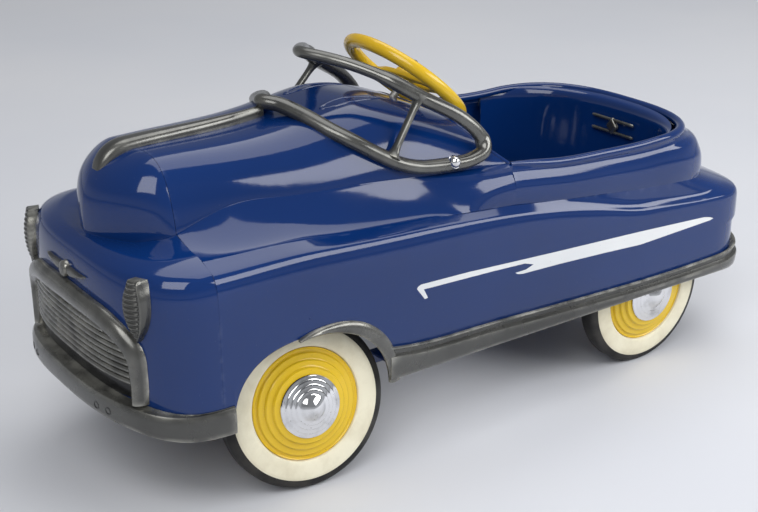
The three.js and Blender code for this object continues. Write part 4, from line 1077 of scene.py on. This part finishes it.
RIVET = ((-0.3, 0), (-0.3, 3.4), (0.5, 3.2), (1.3, 2.2), (1.7, 0))
for side in (1, -1):
    for k, (y, z, size) in enumerate(((-268, 264, 1.0), (-266, 217, 0.55))):
        x = BODY_HALF - (2.2 if k == 0 else 0.2)
        profile = [(px * size, pr * size) for px, pr in RIVET]
        disc_on(f"rivet_{k}_{side}", (side * x, y, z), (side, 0, 0.35 if k == 0 else 0), profile, BLUE, 20,
                slot="body_enamel")

# Pressed loops on the hood, one each side of the ornament.
for side in (1, -1):
    flat = []
    for a in np.linspace(0, 2 * math.pi, 48, endpoint=False):
        x = side * (40 + 7.5 * math.cos(a) * (1 - 0.25 * math.sin(a)))
        y = -114 + 42 * math.sin(a)
        share = abs(x) / float(hood_x(y))
        z = lerp(float(hood_z(y)), float(ridge_z(y)), (1 - share**4) ** 0.795)
        flat.append((x, y, z - 0.4))
    loft(f"hood_loop_{side}", sweep(flat, oval(1.9, 1.3, 10), (0, 0, 1), closed=True),
         BLUE, True, slot="body_enamel")


# ------------------------------------------------ finishes of the mechanism, which shows its CAD solids
def bare(material, *names):
    for name in names:
        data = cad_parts[name].data
        data.materials.clear()
        data.materials.append(material)


bare(STEEL, "front_axle_beam", "kingpin_left", "kingpin_right", "steering_shaft", "knuckle_left",
     "knuckle_right",
     "tie_rod", "crank_axle", "push_rod_left", "push_rod_right", "pedal_arm_left", "pedal_arm_right",
     "pedal_hanger_rod")
bare(BLUE, "seat_pan", "frame_rail_left", "frame_rail_right", "front_subframe", "front_cross_strap",
     "rear_hanger_left", "rear_hanger_right", "steering_bracket")
bare(TREAD, "pedal_left", "pedal_right")

# ---------------------------------------------------------------- floor, light and camera
mesh = bpy.data.meshes.new("floor")
mesh.from_pydata([(-8, -8, 0), (8, -8, 0), (8, 8, 0), (-8, 8, 0)], [], [(0, 1, 2, 3)])
floor = bpy.data.objects.new("floor", mesh)
bpy.context.scene.collection.objects.link(floor)
n = Nodes("studio paper")
n.set(Base_Color=n.mix(n.ramp(n.noise(1.3), 0.3, 0.7), rgb(206, 208, 214), rgb(212, 213, 217)))
n.set(Roughness=0.55, Specular_IOR_Level=0.3)
mesh.materials.append(n.material)

world = bpy.data.worlds.new("studio")
bpy.context.scene.world = world
world.use_nodes = True
tree = world.node_tree
place = tree.nodes.new("ShaderNodeTexCoord")
split = tree.nodes.new("ShaderNodeSeparateXYZ")
tree.links.new(place.outputs["Generated"], split.inputs[0])
fade = tree.nodes.new("ShaderNodeMapRange")
fade.interpolation_type = "SMOOTHSTEP"
for socket, value in (("From Min", 0.02), ("From Max", 0.3), ("To Min", 0.5), ("To Max", 0.26)):
    fade.inputs[socket].default_value = value
tree.links.new(split.outputs["Z"], fade.inputs["Value"])
world_shader = tree.nodes["Background"]
world_shader.inputs["Color"].default_value = (0.92, 0.95, 1.0, 1)
tree.links.new(fade.outputs[0], world_shader.inputs["Strength"])


def softbox(name, place, aim, width, height, power, colour=(1, 1, 1)):
    light = bpy.data.lights.new(name, "AREA")
    light.shape, light.size, light.size_y = "RECTANGLE", width, height
    light.energy, light.color = power, colour
    obj = bpy.data.objects.new(name, light)
    obj.location = place
    obj.rotation_euler = (Vector(aim) - Vector(place)).to_track_quat("-Z", "Y").to_euler()
    bpy.context.scene.collection.objects.link(obj)
    return obj


softbox("bank on the left side", (1.75, 1.5, 1.45), (0.1, 0, 0.25), 2.4, 1.0, 42)
softbox("key behind the camera", (1.9, -2.2, 2.9), (0, 0, 0.1), 2.4, 2.4, 80)
softbox("ceiling", (-0.9, 1.6, 4.4), (-0.6, 0.8, 0), 4.0, 4.0, 110)

camera = bpy.data.cameras.new("camera")
camera.sensor_width = 36
camera.lens = 65.03
view = bpy.data.objects.new("camera", camera)
CAMERA_PLACE = (1.332, -0.997, 0.8399)
HEADING, TILT, ROLL = (math.radians(a) for a in (54.44, 68.03, -0.28))
aim = Matrix.Rotation(HEADING, 4, "Z") @ Matrix.Rotation(TILT, 4, "X")
view.matrix_world = Matrix.Translation(CAMERA_PLACE) @ aim @ Matrix.Rotation(ROLL, 4, "Z")
bpy.context.scene.collection.objects.link(view)
bpy.context.scene.camera = view
bpy.context.scene.view_settings.view_transform = "Standard"
